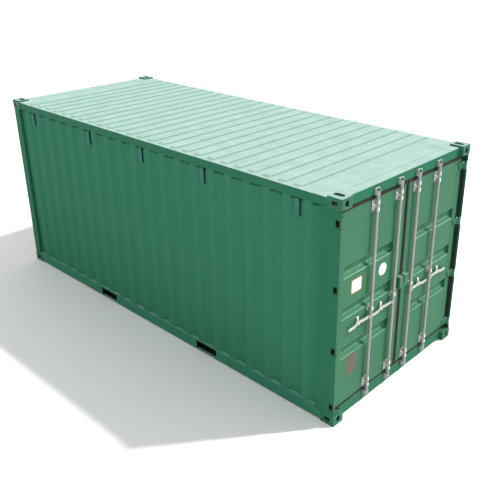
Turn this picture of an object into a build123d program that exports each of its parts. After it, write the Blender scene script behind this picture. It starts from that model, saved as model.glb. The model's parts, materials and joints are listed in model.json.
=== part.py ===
from build123d import *
import os

# Twenty foot dry freight container with double end doors. All lengths are in millimetres.
# X runs along the box towards the doors, Y across it, Z up from the corner fitting feet.
# Pieces called right are on the +Y side and pieces called left on the -Y side.

# Overall size
overall_length = 6058
overall_width = 2438
overall_height = 2591
overrun = 20

# Corner fittings
casting_length = 178
casting_width = 162
casting_height = 118
casting_plate = 28
casting_wall = 14
casting_edge_radius = 6
slot_length = 124.5
slot_width = 63.5
slot_end_distance = 102.5
slot_side_distance = 89.5
side_hole_length = 79.5
side_hole_height = 51
end_hole_width = 63.5
end_hole_height = 79.5
fitting_proud_side = 5
fitting_proud_end = 5
fitting_proud_top = 24
fitting_proud_bottom = 15

# Door end posts
post_plate = 6
door_post_face = 252
door_post_return = 60
door_post_front_setback = 9
inner_post_depth = 57
inner_post_width = 84
inner_post_back_setback = 178
hinge_notch_depth = 64
hinge_notch_height = 92

# Blind end posts
blind_post_face = 135
blind_post_depth = 105
blind_post_chamfer = 45

# End frames
end_rail_setback = 53
header_depth = 106
header_height = 107
sill_height = 125
end_rail_wall = 4
header_lip_drop = 20
header_lip_thickness = 12
door_stop_gap = 12
blind_rail_depth = 70
blind_top_rail_height = 100
blind_bottom_rail_height = 135

# Side rails
top_rail_height = 92
top_rail_depth = 60
top_rail_wall = 3
top_rail_step = 3
top_rail_step_height = 46
bottom_rail_height = 138
bottom_rail_wall = 4.5
bottom_rail_top_flange = 48
bottom_rail_bottom_flange = 30

# Corrugated walls
sheet = 2
wall_setback = 8
wall_outer_flat = 72
wall_inner_flat = 70
wall_depth = 36
wall_pitch_count = 20
wall_blind_margin = 69
wall_door_margin = 37
blind_outer_flat = 110
blind_inner_flat = 60
blind_depth = 45
blind_pitch_count = 8
blind_side_margin = 109

# Roof
roof_rib_count = 25
roof_rib_blind_margin = 277
roof_rib_door_margin = 409
roof_rib_foot = 118
roof_rib_crest = 91
roof_rib_rise = 18
roof_rib_side_margin = 39
roof_rib_end_slope = 18
corner_plate_length = 171
corner_plate_width = 324
corner_plate_thickness = 2.5

# Vents
vent_steps = (-9, -4, 0, 4, 9)
vent_width = 62
vent_height = 190
vent_depth = 26
vent_top_gap = 10
vent_wall = 3
vent_hood_height = 40
vent_hood_proud = 4

# Floor and underframe
floor_thickness = 28
floor_top = 168
floor_side_gap = 4
member_height = 116
member_flange = 45
member_wall = 4
member_count_between_pockets = 5
member_count_outside = 4
pocket_spacing = 2050
pocket_width = 360
pocket_height = 115
pocket_wall = 3
pocket_strap_length = 200
pocket_strap_thickness = 6
pocket_floor_height = 7

# Door leaves
leaf_face_setback = 59
leaf_thickness = 52
leaf_centre_gap = 20
leaf_side_gap = 54
leaf_bottom = 163
leaf_top_gap = 33
hinge_stile_width = 97
centre_stile_width = 176
leaf_rail_height = 160
leaf_tube_wall = 3
panel_recess = 3
groove_bottom_margin = 419
groove_top_margin = 441
groove_count = 3
groove_mouth = 140
groove_floor = 62
groove_depth = 36

# Door seals
seal_setback = 3
seal_depth = 30
seal_side_reach = 8
seal_centre_reach = 16
seal_top_reach = 28
seal_bottom_reach = 18

# Hinges
hinge_level_shares = (0.0269, 0.3335, 0.6462, 0.9572)
pin_side_inset = 24
pin_front_inset = 21
pin_radius = 8
pin_clearance = 0.08
knuckle_radius = 13
blade_height = 72
blade_thickness = 11
blade_length = 72
lug_height = 18
lug_gap = 1
lug_side_gap = 1

# Locking bars
bar_radius = 17
bar_bore_radius = 13.5
bar_front_inset = 27
inner_bar_place = 172
outer_bar_place = 594
top_cam_rise = 12
bottom_cam_drop = 35
cam_nose_reach = 26
cam_nose_tip = 8
cam_body_half = 18
cam_body_corner = 8
cam_thickness = 30
bar_end_length = 10
collar_radius = 21
collar_height = 10
collar_gap = 5
cam_side_gap = 7
keeper_cheek = 6
keeper_reach = 34
keeper_height = 72
keeper_edge_gap = 2
keeper_shelf = 6
keeper_bevel = 10

# Bar brackets
bracket_height = 114
bracket_rail_gap = 25
bracket_plate = 6
bracket_flange_reach = 57
bracket_saddle = 4
bracket_corner = 9
bracket_gap = 0.4
guide_level = 1178
guide_height = 34
guide_flange_reach = 44
bracket_waist_height = 34

# Handles
handle_level = 1090
handle_pivot_offset = 36
handle_length = 345
handle_height = 32
handle_thickness = 8
handle_bend_start = 105
handle_bend_run = 60
handle_bend_depth = 10
handle_drop_start = 224
handle_drop_run = 42
handle_drop = 26
handle_hub_half = 13
handle_hub_height = 46
handle_hub_end = 15
handle_end_radius = 15
handle_pin_radius = 6
handle_pin_clearance = 0.08
handle_cheek_gap = 1

# Handle retainers
retainer_distance = 205
retainer_plate = 4
retainer_width = 34
retainer_height = 100
retainer_drop = 40
shelf_gap = 5
shelf_thickness = 7
shelf_reach = 24
catch_gap = 6
catch_thickness = 8
catch_width = 30
catch_pin_radius = 6.5

# Lock cover, one half on each leaf beside the door joint
cover_bottom = 1204
cover_height = 148
cover_slope = 14
cover_depth = 50
cover_reach = 85
cover_joint_gap = 9
cover_wall = 4

# Values worked out from the sizes above
half_length = overall_length / 2
half_width = overall_width / 2
frame_side = half_width - fitting_proud_side
frame_end = half_length - fitting_proud_end
roof_level = overall_height - fitting_proud_top
casting_inner_x = half_length - casting_length
casting_inner_y = half_width - casting_width
end_face = half_length - end_rail_setback
wall_face = frame_side - wall_setback
door_post_back = half_length - door_post_face
door_post_front = half_length - door_post_front_setback
inner_post_back = half_length - inner_post_back_setback
inner_post_front = inner_post_back + inner_post_depth
inner_post_side = frame_side - inner_post_width
blind_post_front = -frame_end + blind_post_face
header_bottom = roof_level - header_height
sill_bottom = fitting_proud_bottom
sill_top = sill_bottom + sill_height
top_rail_bottom = roof_level - sheet - top_rail_height
bottom_rail_top = fitting_proud_bottom + bottom_rail_height
leaf_top = header_bottom - leaf_top_gap
leaf_height = leaf_top - leaf_bottom
leaf_face = half_length - leaf_face_setback
leaf_back = leaf_face - leaf_thickness
leaf_side = half_width - leaf_side_gap
panel_face = leaf_face - panel_recess
panel_bottom = leaf_bottom + leaf_rail_height
panel_top = leaf_top - leaf_rail_height
groove_span = panel_top - panel_bottom - groove_bottom_margin - groove_top_margin - groove_mouth
hinge_levels = tuple(leaf_bottom + share * leaf_height for share in hinge_level_shares)
pin_x = half_length - pin_front_inset
pin_y = half_width - pin_side_inset
bar_x = half_length - bar_front_inset
top_cam_level = header_bottom + top_cam_rise
bottom_cam_level = sill_top - bottom_cam_drop
bar_places = (inner_bar_place, outer_bar_place)
wall_first = blind_post_front + wall_blind_margin
wall_pitch = (door_post_back - wall_door_margin - wall_first) / wall_pitch_count
wall_middle = wall_first + wall_pitch_count * wall_pitch / 2
blind_first = -(frame_side - blind_side_margin - blind_post_depth)
blind_pitch = -2 * blind_first / blind_pitch_count
roof_rib_first = -casting_inner_x + roof_rib_blind_margin
roof_rib_last = casting_inner_x - roof_rib_door_margin
roof_rib_pitch = (roof_rib_last - roof_rib_first) / (roof_rib_count - 1)
roof_rib_length = 2 * (frame_side - roof_rib_side_margin)


def block(x_low, x_high, y_low, y_high, z_low, z_high):
    """A box between two opposite corners."""
    size = (x_high - x_low, y_high - y_low, z_high - z_low)
    centre = ((x_low + x_high) / 2, (y_low + y_high) / 2, (z_low + z_high) / 2)
    return Pos(*centre) * Box(*size)


def upright(outline, z_low, z_high):
    """An outline drawn in X and Y, raised between two levels."""
    return Pos(0, 0, z_low) * extrude(make_face(Polyline(*outline, close=True)), z_high - z_low)


def crosswise(outline, y_low, y_high):
    """An outline drawn in X and Z, run across the box."""
    face = Plane.XZ * make_face(Polyline(*outline, close=True))
    return Pos(0, y_high, 0) * extrude(face, y_high - y_low)


def lengthwise(outline, x_low, x_high):
    """An outline drawn in Y and Z, run along the box."""
    face = Plane.YZ * make_face(Polyline(*outline, close=True))
    return Pos(x_low, 0, 0) * extrude(face, x_high - x_low)


def pillar(x, y, radius, z_low, z_high):
    """A round pillar that stands between two levels."""
    return Pos(x, y, (z_low + z_high) / 2) * Cylinder(radius, z_high - z_low)


def across(shape):
    """The same piece on the other side of the box."""
    return mirror(shape, about=Plane.XZ)


def endways(shape):
    """The same piece at the other end of the box."""
    return mirror(shape, about=Plane.YZ)


def both_sides(shape):
    return [shape, across(shape)]


def on_side(side, shapes):
    """Pieces built on the right, as they are for side 1 and mirrored to the left for side -1."""
    if side > 0:
        return shapes
    return [across(shape) for shape in shapes]


def save(name, pieces):
    solids = []
    for piece in pieces:
        solids.extend(piece.solids())
    export_step(Compound(solids), "parts/" + name + ".step")


# Corner fittings: a hollow block with a long slot below or above and holes in the end and the side
def corner_fitting():
    """Top fitting at the door end on the right. Its hole walls are the thick outer ones."""
    x_low = casting_inner_x
    y_low = casting_inner_y
    z_low = overall_height - casting_height
    body = block(x_low, half_length, y_low, half_width, z_low, overall_height)
    outer_edges = body.edges().filter_by(Axis.Z).sort_by(Axis.X)[-2:].sort_by(Axis.Y)[-1:]
    body = fillet(outer_edges, casting_edge_radius)
    x_in = x_low + casting_wall
    x_out = half_length - casting_wall
    y_in = y_low + casting_wall
    y_out = half_width - casting_wall
    body -= block(x_in, x_out, y_in, y_out, z_low + casting_wall, overall_height - casting_plate)
    slot = SlotOverall(slot_length, slot_width)
    slot_place = Pos(half_length - slot_end_distance, half_width - slot_side_distance,
                     overall_height - casting_plate - overrun)
    body -= slot_place * extrude(slot, casting_plate + 2 * overrun)
    hole_level = (z_low + overall_height - casting_wall) / 2
    side_hole = Plane.XZ * SlotOverall(side_hole_length, side_hole_height)
    side_place = Pos((x_low + half_length) / 2, half_width + overrun, hole_level)
    body -= side_place * extrude(side_hole, casting_wall + 2 * overrun)
    end_hole = Plane.YZ * SlotOverall(end_hole_height, end_hole_width, rotation=90)
    end_place = Pos(half_length - casting_wall - overrun, (y_low + half_width) / 2, hole_level)
    body -= end_place * extrude(end_hole, casting_wall + 2 * overrun)
    return body


def corner_fittings():
    top_right = corner_fitting()
    tops = [top_right, across(top_right), endways(top_right), across(endways(top_right))]
    bottom_right = Pos(0, 0, overall_height) * mirror(top_right, about=Plane.XY)
    bottoms = [bottom_right, across(bottom_right), endways(bottom_right), across(endways(bottom_right))]
    return tops, bottoms


# Door end posts: an outer plate with a return, and an inner box post behind the door edge
def door_post():
    z_low = casting_height
    z_high = overall_height - casting_height
    plate = block(door_post_back, door_post_front, frame_side - post_plate, frame_side, z_low, z_high)
    leg = block(door_post_back, door_post_back + post_plate,
                frame_side - door_post_return, frame_side, z_low, z_high)
    tube = block(inner_post_back, inner_post_front, inner_post_side, frame_side, z_low, z_high)
    tube -= block(inner_post_back + post_plate, inner_post_front - post_plate,
                  inner_post_side + post_plate, frame_side - post_plate, z_low - overrun, z_high + overrun)
    post = plate + leg + tube
    for level in hinge_levels:
        post -= block(door_post_front - hinge_notch_depth, door_post_front + overrun,
                      frame_side - post_plate - lug_side_gap, frame_side + overrun,
                      level - hinge_notch_height / 2, level + hinge_notch_height / 2)
    return post


def hinge_seat(level):
    """Two lugs, welded to the inner post, that carry a hinge pin between them."""
    lugs = []
    y_low = pin_y - knuckle_radius
    y_high = pin_y + knuckle_radius
    corner = knuckle_radius / 2
    outline = [(inner_post_front, y_low), (pin_x + corner, y_low), (pin_x + knuckle_radius, pin_y - corner),
               (pin_x + knuckle_radius, pin_y + corner), (pin_x + corner, y_high), (inner_post_front, y_high)]
    reach = blade_height / 2 + lug_gap
    for side in (-1, 1):
        low = level + side * (reach + lug_height / 2) - lug_height / 2
        lugs.append(upright(outline, low, low + lug_height))
    top = level + reach + lug_height
    pin = pillar(pin_x, pin_y, pin_radius, 2 * level - top, top)
    return lugs[0] + lugs[1] + pin


# Blind end posts: one box section with its inner corner cut off
def blind_post():
    x_low = -frame_end
    x_high = blind_post_front
    y_low = frame_side - blind_post_depth
    chamfer = blind_post_chamfer
    outline = [(x_low, y_low), (x_high - chamfer, y_low), (x_high, y_low + chamfer),
               (x_high, frame_side), (x_low, frame_side)]
    face = make_face(Polyline(*outline, close=True))
    section = face - offset(face, -post_plate)
    return Pos(0, 0, casting_height) * extrude(section, overall_height - 2 * casting_height)


# Rails of the two end frames
def box_rail(x_low, x_high, z_low, z_high):
    rail = block(x_low, x_high, -casting_inner_y, casting_inner_y, z_low, z_high)
    wall = end_rail_wall
    return rail - block(x_low + wall, x_high - wall, -half_width, half_width, z_low + wall, z_high - wall)


def door_header():
    rail = box_rail(end_face - header_depth, end_face, header_bottom, roof_level - sheet)
    return rail + door_stop(header_bottom - header_lip_drop, overall_height - casting_height)


def door_stop(low, high):
    """Flat bar behind the leaves, between the inner posts."""
    front = leaf_back - door_stop_gap
    return block(front - header_lip_thickness, front, -inner_post_side, inner_post_side, low, high)


def door_sill():
    rail = box_rail(end_face - header_depth, end_face, sill_bottom, sill_top)
    return rail + door_stop(casting_height, sill_top)


def blind_rails():
    x_low = -frame_end
    x_high = x_low + blind_rail_depth
    top = box_rail(x_low, x_high, roof_level - sheet - blind_top_rail_height, roof_level - sheet)
    bottom = box_rail(x_low, x_high, fitting_proud_bottom, fitting_proud_bottom + blind_bottom_rail_height)
    return [top, bottom]


# Side rails
def top_rail():
    """Stepped box rail on the right. Its lower half lies a little further in."""
    y_out = frame_side
    y_in = frame_side - top_rail_depth
    z_low = top_rail_bottom
    z_high = roof_level - sheet
    z_step = z_low + top_rail_step_height
    outline = [(y_in, z_low), (y_out - top_rail_step, z_low), (y_out - top_rail_step, z_step),
               (y_out, z_step), (y_out, z_high), (y_in, z_high)]
    face = make_face(Polyline(*outline, close=True))
    section = Plane.YZ * (face - offset(face, -top_rail_wall))
    return Pos(-casting_inner_x, 0, 0) * extrude(section, 2 * casting_inner_x)


def bottom_rail():
    """Pressed channel on the right, cut through for the fork pockets."""
    y_out = frame_side
    wall = bottom_rail_wall
    z_low = fitting_proud_bottom
    z_high = bottom_rail_top
    outline = [(y_out, z_low), (y_out, z_high), (y_out - bottom_rail_top_flange, z_high),
               (y_out - bottom_rail_top_flange, z_high - wall), (y_out - wall, z_high - wall),
               (y_out - wall, z_low + wall), (y_out - bottom_rail_bottom_flange, z_low + wall),
               (y_out - bottom_rail_bottom_flange, z_low)]
    rail = lengthwise(outline, blind_post_front, casting_inner_x)
    rail -= block(blind_post_front - overrun, -casting_inner_x, 0, half_width, 0, casting_height)
    rail -= block(door_post_back, half_length, 0, half_width, casting_height, overall_height)
    for place in pocket_places():
        low = pocket_low()
        rail -= block(place - pocket_width / 2, place + pocket_width / 2,
                      y_out - wall - overrun, y_out + overrun, low, low + pocket_height)
    return rail


# Corrugated sheets
def ridge_line(start, end, first_centre, pitch, count, outer_flat, inner_flat, outer, inner):
    """Line of a trapezoid corrugation with a valley about each pitch, from one end to the other."""
    points = [(start, inner)]
    for step in range(count):
        middle = first_centre + (step + 1 / 2) * pitch
        foot = (pitch - inner_flat) / 2
        points.append((middle - foot, inner))
        points.append((middle - outer_flat / 2, outer))
        points.append((middle + outer_flat / 2, outer))
        points.append((middle + foot, inner))
    points.append((end, inner))
    return points


def side_wall():
    start = blind_post_front
    end = door_post_back
    outer = ridge_line(start, end, wall_first, wall_pitch, wall_pitch_count, wall_outer_flat,
                       wall_inner_flat, wall_face, wall_face - wall_depth)
    inner = [(x, y - sheet) for x, y in reversed(outer)]
    return upright(outer + inner, bottom_rail_top, top_rail_bottom)


def blind_wall():
    end = frame_side - blind_post_depth
    face = -frame_end + wall_setback
    line = ridge_line(-end, end, blind_first, blind_pitch, blind_pitch_count, blind_outer_flat,
                      blind_inner_flat, face, face + blind_depth)
    outer = [(x, y) for y, x in line]
    inner = [(x + sheet, y) for x, y in reversed(outer)]
    top = roof_level - sheet - blind_top_rail_height
    return upright(outer + inner, fitting_proud_bottom + blind_bottom_rail_height, top)


# Roof: one sheet with raised ribs, a strip over each end rail, and doubler plates beside the fittings
def roof_rib():
    """Tapered rib with its foot at level zero."""
    foot = Rectangle(roof_rib_foot, roof_rib_length)
    crest = Rectangle(roof_rib_crest, roof_rib_length - 2 * roof_rib_end_slope)
    return loft([foot, Pos(0, 0, roof_rib_rise) * crest])


def roof():
    bottom = roof_level - sheet
    panel = block(-casting_inner_x, casting_inner_x, -frame_side, frame_side, bottom, roof_level)
    strips = [block(-frame_end, -casting_inner_x, -casting_inner_y, casting_inner_y, bottom, roof_level),
              block(casting_inner_x, end_face, -casting_inner_y, casting_inner_y, bottom, roof_level)]
    places = [Pos(roof_rib_first + step * roof_rib_pitch, 0, 0) for step in range(roof_rib_count)]
    rib = Pos(0, 0, roof_level) * roof_rib()
    hollow = Pos(0, 0, -sheet) * rib
    panel = panel + [place * rib for place in places]
    panel = panel - [place * hollow for place in places]
    return [panel] + strips


def corner_plates():
    plate = block(casting_inner_x - corner_plate_length, casting_inner_x, frame_side - corner_plate_width,
                  frame_side, roof_level, roof_level + corner_plate_thickness)
    beside = block(casting_inner_x, end_face, frame_side - corner_plate_width, casting_inner_y,
                   roof_level, roof_level + corner_plate_thickness)
    plate += beside
    blind = endways(plate)
    return both_sides(plate) + both_sides(blind)


# Vent boxes with a small hood, hollow and open below
def vents():
    pieces = []
    face = wall_face - wall_depth
    front = face + vent_depth
    hood = front + vent_hood_proud
    top = top_rail_bottom - vent_top_gap
    bottom = top - vent_height
    slope = vent_depth / 2
    hood_low = top - vent_hood_height
    outline = [(face, bottom), (face, top), (face + slope, top), (hood, top - slope), (hood, hood_low),
               (front, hood_low), (front, bottom)]
    for step in vent_steps:
        x = wall_middle + step * wall_pitch
        x_low = x - vent_width / 2
        x_high = x + vent_width / 2
        box = lengthwise(outline, x_low, x_high)
        box -= block(x_low + vent_wall, x_high - vent_wall, face - overrun, front - vent_wall,
                     bottom - overrun, top - slope - vent_wall)
        pieces.append(box)
    return pieces


# Floor and underframe
def pocket_places():
    return (-pocket_spacing / 2, pocket_spacing / 2)


def pocket_low():
    return fitting_proud_bottom + pocket_floor_height


def floor_boards():
    """Plywood deck, cut narrower between the posts at each end."""
    side = frame_side - bottom_rail_top_flange - floor_side_gap
    low = floor_top - floor_thickness
    gap = floor_side_gap
    deck = block(blind_post_front + gap, door_post_back - gap, -side, side, low, floor_top)
    side = frame_side - blind_post_depth - gap
    deck += block(-frame_end + blind_rail_depth, blind_post_front + gap, -side, side, low, floor_top)
    side = inner_post_side - gap
    deck += block(door_post_back - gap, end_face - header_depth, -side, side, low, floor_top)
    return deck


def threshold():
    side = inner_post_side
    x_low = end_face - header_depth
    x_high = leaf_back - door_stop_gap
    return block(x_low, x_high, -side, side, sill_top, floor_top)


def fork_pocket(place):
    """Three sided tunnel with a strap under each mouth."""
    reach = frame_side - bottom_rail_wall
    low = pocket_low()
    half = pocket_width / 2
    tunnel = block(place - half - pocket_wall, place + half + pocket_wall, -reach, reach,
                   low, low + pocket_height + pocket_wall)
    tunnel -= block(place - half, place + half, -half_width, half_width, low - overrun, low + pocket_height)
    for side in (-1, 1):
        ends = sorted((side * (reach - bottom_rail_bottom_flange), side * (reach - pocket_strap_length)))
        tunnel += block(place - half - pocket_wall, place + half + pocket_wall, ends[0], ends[1],
                        low - pocket_strap_thickness, low)
    return tunnel


def cross_member(place, turn):
    """Channel across the underframe. Its flanges point along X to the side that turn gives."""
    reach = frame_side - bottom_rail_wall
    top = floor_top - floor_thickness
    low = top - member_height
    flange = place + turn * member_flange
    wall = member_wall
    web = place + turn * wall
    outline = [(place, low), (flange, low), (flange, low + wall), (web, low + wall),
               (web, top - wall), (flange, top - wall), (flange, top), (place, top)]
    return crosswise(outline, -reach, reach)


def cross_members():
    inner_edge = pocket_spacing / 2 - pocket_width / 2 - pocket_wall
    outer_edge = pocket_spacing / 2 + pocket_width / 2 + pocket_wall
    pieces = []
    inner_step = (2 * inner_edge - member_flange) / (member_count_between_pockets + 1)
    for index in range(member_count_between_pockets + 2):
        place = -inner_edge + index * inner_step
        pieces.append(cross_member(place, 1))
    last = door_post_back - 2 * member_flange
    outer_step = (last - outer_edge) / (member_count_outside + 1)
    for index in range(member_count_outside + 2):
        place = outer_edge + index * outer_step
        pieces.append(cross_member(place, 1))
        pieces.append(cross_member(-place, -1))
    return pieces


# Door leaves, built on the right and mirrored to the left
def leaf_frame():
    """Two tube stiles and two channel rails as one welded ring."""
    y_low = leaf_centre_gap
    y_high = leaf_side
    wall = leaf_tube_wall
    y_in = y_low + centre_stile_width
    y_out = y_high - hinge_stile_width
    centre_stile = block(leaf_back, leaf_face, y_low, y_in, leaf_bottom, leaf_top)
    centre_stile -= block(leaf_back + wall, leaf_face - wall, y_low + wall, y_in - wall, 0, overall_height)
    hinge_stile = block(leaf_back, leaf_face, y_out, y_high, leaf_bottom, leaf_top)
    hinge_stile -= block(leaf_back + wall, leaf_face - wall, y_out + wall, y_high - wall, 0, overall_height)
    ring = centre_stile + hinge_stile
    for low in (leaf_bottom, leaf_top - leaf_rail_height):
        high = low + leaf_rail_height
        rail = block(leaf_back, leaf_face, y_in, y_out, low, high)
        rail -= block(leaf_back - overrun, leaf_face - wall, y_in - overrun, y_out + overrun,
                      low + wall, high - wall)
        ring += rail
    return ring


def leaf_panel():
    """Sheet with level grooves pressed inwards."""
    outer = panel_face
    inner = outer - groove_depth
    slope = (groove_mouth - groove_floor) / 2
    line = [(outer, panel_bottom)]
    for step in range(groove_count):
        low = panel_bottom + groove_bottom_margin + step * groove_span / (groove_count - 1)
        line.append((outer, low))
        line.append((inner, low + slope))
        line.append((inner, low + slope + groove_floor))
        line.append((outer, low + groove_mouth))
    line.append((outer, panel_top))
    back = [(x - sheet, z) for x, z in reversed(line)]
    return crosswise(line + back, leaf_centre_gap + centre_stile_width, leaf_side - hinge_stile_width)


def leaf_seal():
    x_high = leaf_face - seal_setback
    x_low = x_high - seal_depth
    ring = block(x_low, x_high, leaf_centre_gap - seal_centre_reach, leaf_side + seal_side_reach,
                 leaf_bottom - seal_bottom_reach, leaf_top + seal_top_reach)
    return ring - block(x_low - overrun, x_high + overrun, leaf_centre_gap, leaf_side,
                        leaf_bottom, leaf_top)


def hinge_blade(level):
    """Cranked strap on the door face that ends in a knuckle around the pin."""
    x_face = leaf_face
    x_front = leaf_face + blade_thickness
    y_foot = leaf_side - blade_length
    outline = [(x_face, y_foot), (x_face, leaf_side), (pin_x - knuckle_radius / 2, pin_y),
               (pin_x, pin_y + knuckle_radius / 2), (pin_x + knuckle_radius / 2, pin_y - knuckle_radius / 2),
               (x_front, leaf_side - blade_thickness), (x_front, y_foot)]
    low = level - blade_height / 2
    high = level + blade_height / 2
    strap = upright(outline, low, high) + pillar(pin_x, pin_y, knuckle_radius, low, high)
    return strap - pillar(pin_x, pin_y, pin_radius + pin_clearance, low - overrun, high + overrun)


# Locking gear
def cam(level, turn):
    """Cam head: a faceted body around the bar with a tapered nose that points sideways, as turn says."""
    body = cam_body_half
    corner = cam_body_corner
    tip = cam_nose_tip
    outline = [(tip, cam_nose_reach), (body, corner), (body, -corner), (corner, -body),
               (-corner, -body), (-body, -corner), (-body, corner), (-tip, cam_nose_reach)]
    points = [(bar_x + x, turn * y) for x, y in outline]
    return upright(points, level - cam_thickness / 2, level + cam_thickness / 2)


def collar(level, lean):
    """Ring that keeps the bar from sliding, just past the outer end of a long bearing."""
    near = level + lean * collar_gap
    ends = sorted((near, near + lean * collar_height))
    return pillar(bar_x, 0, collar_radius, ends[0], ends[1])


def handle_hub(turn):
    """Two cheeks with a pin across them, which stand out from the bar as turn says."""
    low = handle_level - handle_hub_height / 2
    high = handle_level + handle_hub_height / 2
    pivot = turn * handle_pivot_offset
    end = pivot + turn * handle_hub_end
    corner = handle_hub_end / 2
    outline = [(0, low), (pivot, low), (end, handle_level - corner), (end, handle_level + corner),
               (pivot, high), (0, high)]
    hub = lengthwise(outline, bar_x - handle_hub_half, bar_x + handle_hub_half)
    slot = handle_thickness / 2 + handle_cheek_gap
    ends = sorted((turn * bar_radius, end + turn * overrun))
    hub -= block(bar_x - slot, bar_x + slot, ends[0], ends[1], low - overrun, high + overrun)
    pin = Plane.YZ * Circle(handle_pin_radius)
    return hub + Pos(bar_x - handle_hub_half, pivot, handle_level) * extrude(pin, 2 * handle_hub_half)


def locking_bar(place, turn):
    """Bar with a cam at each end and a forked hub for the handle. It stands at Y = place."""
    reach = cam_thickness / 2 + bar_end_length
    low = bottom_cam_level - reach
    bar = pillar(bar_x, 0, bar_radius, low, top_cam_level + reach)
    bar += cam(top_cam_level, turn) + cam(bottom_cam_level, turn)
    bar += collar(leaf_top - bracket_rail_gap, 1) + collar(leaf_bottom + bracket_rail_gap, -1)
    bar += handle_hub(turn)
    bar -= pillar(bar_x, 0, bar_bore_radius, low - overrun, top_cam_level - cam_thickness)
    return Pos(0, place, 0) * bar


def handle(place, turn):
    """Flat bar on its pin. It bends towards the door, and past the retainer its grip lies lower."""
    half = handle_thickness / 2
    start = handle_pivot_offset
    inner = start - handle_height / 2
    end = start + handle_length
    bend = start + handle_bend_start
    dip = bar_x - handle_bend_depth
    line = [(bar_x, inner), (bar_x, bend), (dip, bend + handle_bend_run), (dip, end)]
    front = [(x + half, turn * y) for x, y in line]
    back = [(x - half, turn * y) for x, y in reversed(line)]
    high = handle_level + handle_height / 2
    low = handle_level - handle_height / 2
    lever = upright(front + back, low - handle_drop, high)
    drop_end = handle_drop_start + handle_drop_run
    course = [(inner, 0), (handle_drop_start, 0), (drop_end, -handle_drop), (end, -handle_drop)]
    above = [(turn * y, high + z) for y, z in course]
    below = [(turn * y, low + z) for y, z in reversed(course)]
    lever &= lengthwise(above + below, dip - half - overrun, bar_x + half + overrun)
    ends = lever.edges().filter_by(Axis.X).group_by(Axis.Y)
    lever = fillet(ends[0] + ends[-1], handle_end_radius)
    pin = Plane.YZ * Circle(handle_pin_radius + handle_pin_clearance)
    lever -= Pos(bar_x - half - overrun, turn * start, handle_level) * extrude(pin, 2 * (half + overrun))
    return Pos(0, place, 0) * lever


def bearing(place, low, high, flange_reach, seat):
    """Saddle around a bar on a foot plate. The bolted flange is always on the -Y side."""
    bore = bar_radius + bracket_gap
    outer = bore + bracket_saddle
    corner = bracket_corner
    foot = block(seat, leaf_face + bracket_plate, place - flange_reach, place + outer, low, high)
    outline = [(seat, place - outer), (bar_x + corner, place - outer), (bar_x + outer, place - corner),
               (bar_x + outer, place + corner), (bar_x + corner, place + outer), (seat, place + outer)]
    bracket = foot + upright(outline, low, high)
    return bracket - pillar(bar_x, place, bore, low - overrun, high + overrun)


def bar_brackets(side):
    pieces = []
    for place in bar_places:
        y = side * place
        low = leaf_bottom + bracket_rail_gap
        pieces.append(waisted_bearing(y, low, low + bracket_height))
        high = leaf_top - bracket_rail_gap
        pieces.append(waisted_bearing(y, high - bracket_height, high))
        seat = leaf_face if place < centre_stile_width else panel_face
        pieces.append(bearing(y, guide_level - guide_height / 2, guide_level + guide_height / 2,
                              guide_flange_reach, seat))
    return pieces


def waisted_bearing(place, low, high):
    """Long bearing whose saddle is cut back to two straps."""
    bracket = bearing(place, low, high, bracket_flange_reach, leaf_face)
    middle = (low + high) / 2
    cut = block(leaf_face + bracket_plate, half_length + overrun, place - bracket_flange_reach - overrun,
                place + bracket_flange_reach, middle - bracket_waist_height / 2,
                middle + bracket_waist_height / 2)
    return bracket - cut


def keeper(place, turn, edge, lean):
    """Two cheeks and a shelf that hold a cam head between them, on the end frame beyond its edge."""
    nose = turn * (cam_nose_reach + cam_side_gap)
    back = -turn * (cam_body_half + cam_side_gap)
    x_high = end_face + keeper_reach
    near = edge + lean * keeper_edge_gap
    far = near + lean * keeper_height
    low, high = sorted((near, far))
    bevel = keeper_bevel
    cheek = [(end_face, low), (x_high - bevel, low), (x_high, low + bevel), (x_high, high - bevel),
             (x_high - bevel, high), (end_face, high)]
    pieces = []
    for inner, away in ((nose, turn), (back, -turn)):
        ends = sorted((inner, inner + away * keeper_cheek))
        pieces.append(crosswise(cheek, ends[0], ends[1]))
    shelf_low, shelf_high = sorted((far, far - lean * keeper_shelf))
    ends = sorted((nose, back))
    shelf = block(end_face, x_high - bevel, ends[0], ends[1], shelf_low, shelf_high)
    return Pos(0, place, 0) * (pieces[0] + pieces[1] + shelf)


def keepers():
    pieces = []
    for side in (-1, 1):
        for place in bar_places:
            pieces.append(keeper(side * place, side, header_bottom, 1))
            pieces.append(keeper(side * place, side, sill_top, -1))
    return pieces


def retainer(place, turn):
    """Foot plate with a shelf below the handle and a hinged catch folded back above it."""
    y = turn * retainer_distance
    half = retainer_width / 2
    low = handle_level - retainer_drop
    plate = block(panel_face, leaf_face + retainer_plate, y - half, y + half, low, low + retainer_height)
    shelf_top = handle_level - handle_height / 2 - shelf_gap
    front = leaf_face + retainer_plate
    shelf = block(front, front + shelf_reach, y - half, y + half, shelf_top - shelf_thickness, shelf_top)
    catch_low = handle_level + handle_height / 2 + catch_gap
    catch_high = low + retainer_height - catch_pin_radius
    catch = block(front, front + catch_thickness, y - catch_width / 2, y + catch_width / 2,
                  catch_low, catch_high)
    barrel = Plane.XZ * Circle(catch_pin_radius)
    catch += Pos(front, y + half, catch_high) * extrude(barrel, retainer_width)
    return Pos(0, place, 0) * (plate + shelf + catch)


def lock_cover():
    """Half of the lock cover: a hood with a sloping top, open below and towards the other leaf."""
    back = leaf_face
    front = leaf_face + cover_depth
    low = cover_bottom
    high = cover_bottom + cover_height
    wall = cover_wall
    outline = [(back, low), (front, low), (front, high - cover_slope), (back, high)]
    hood = crosswise(outline, cover_joint_gap, cover_reach)
    hollow = [(back, low - overrun), (front - wall, low - overrun), (front - wall, high - cover_slope - wall),
              (back, high - wall)]
    return hood - crosswise(hollow, cover_joint_gap - overrun, cover_reach - wall)


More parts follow.
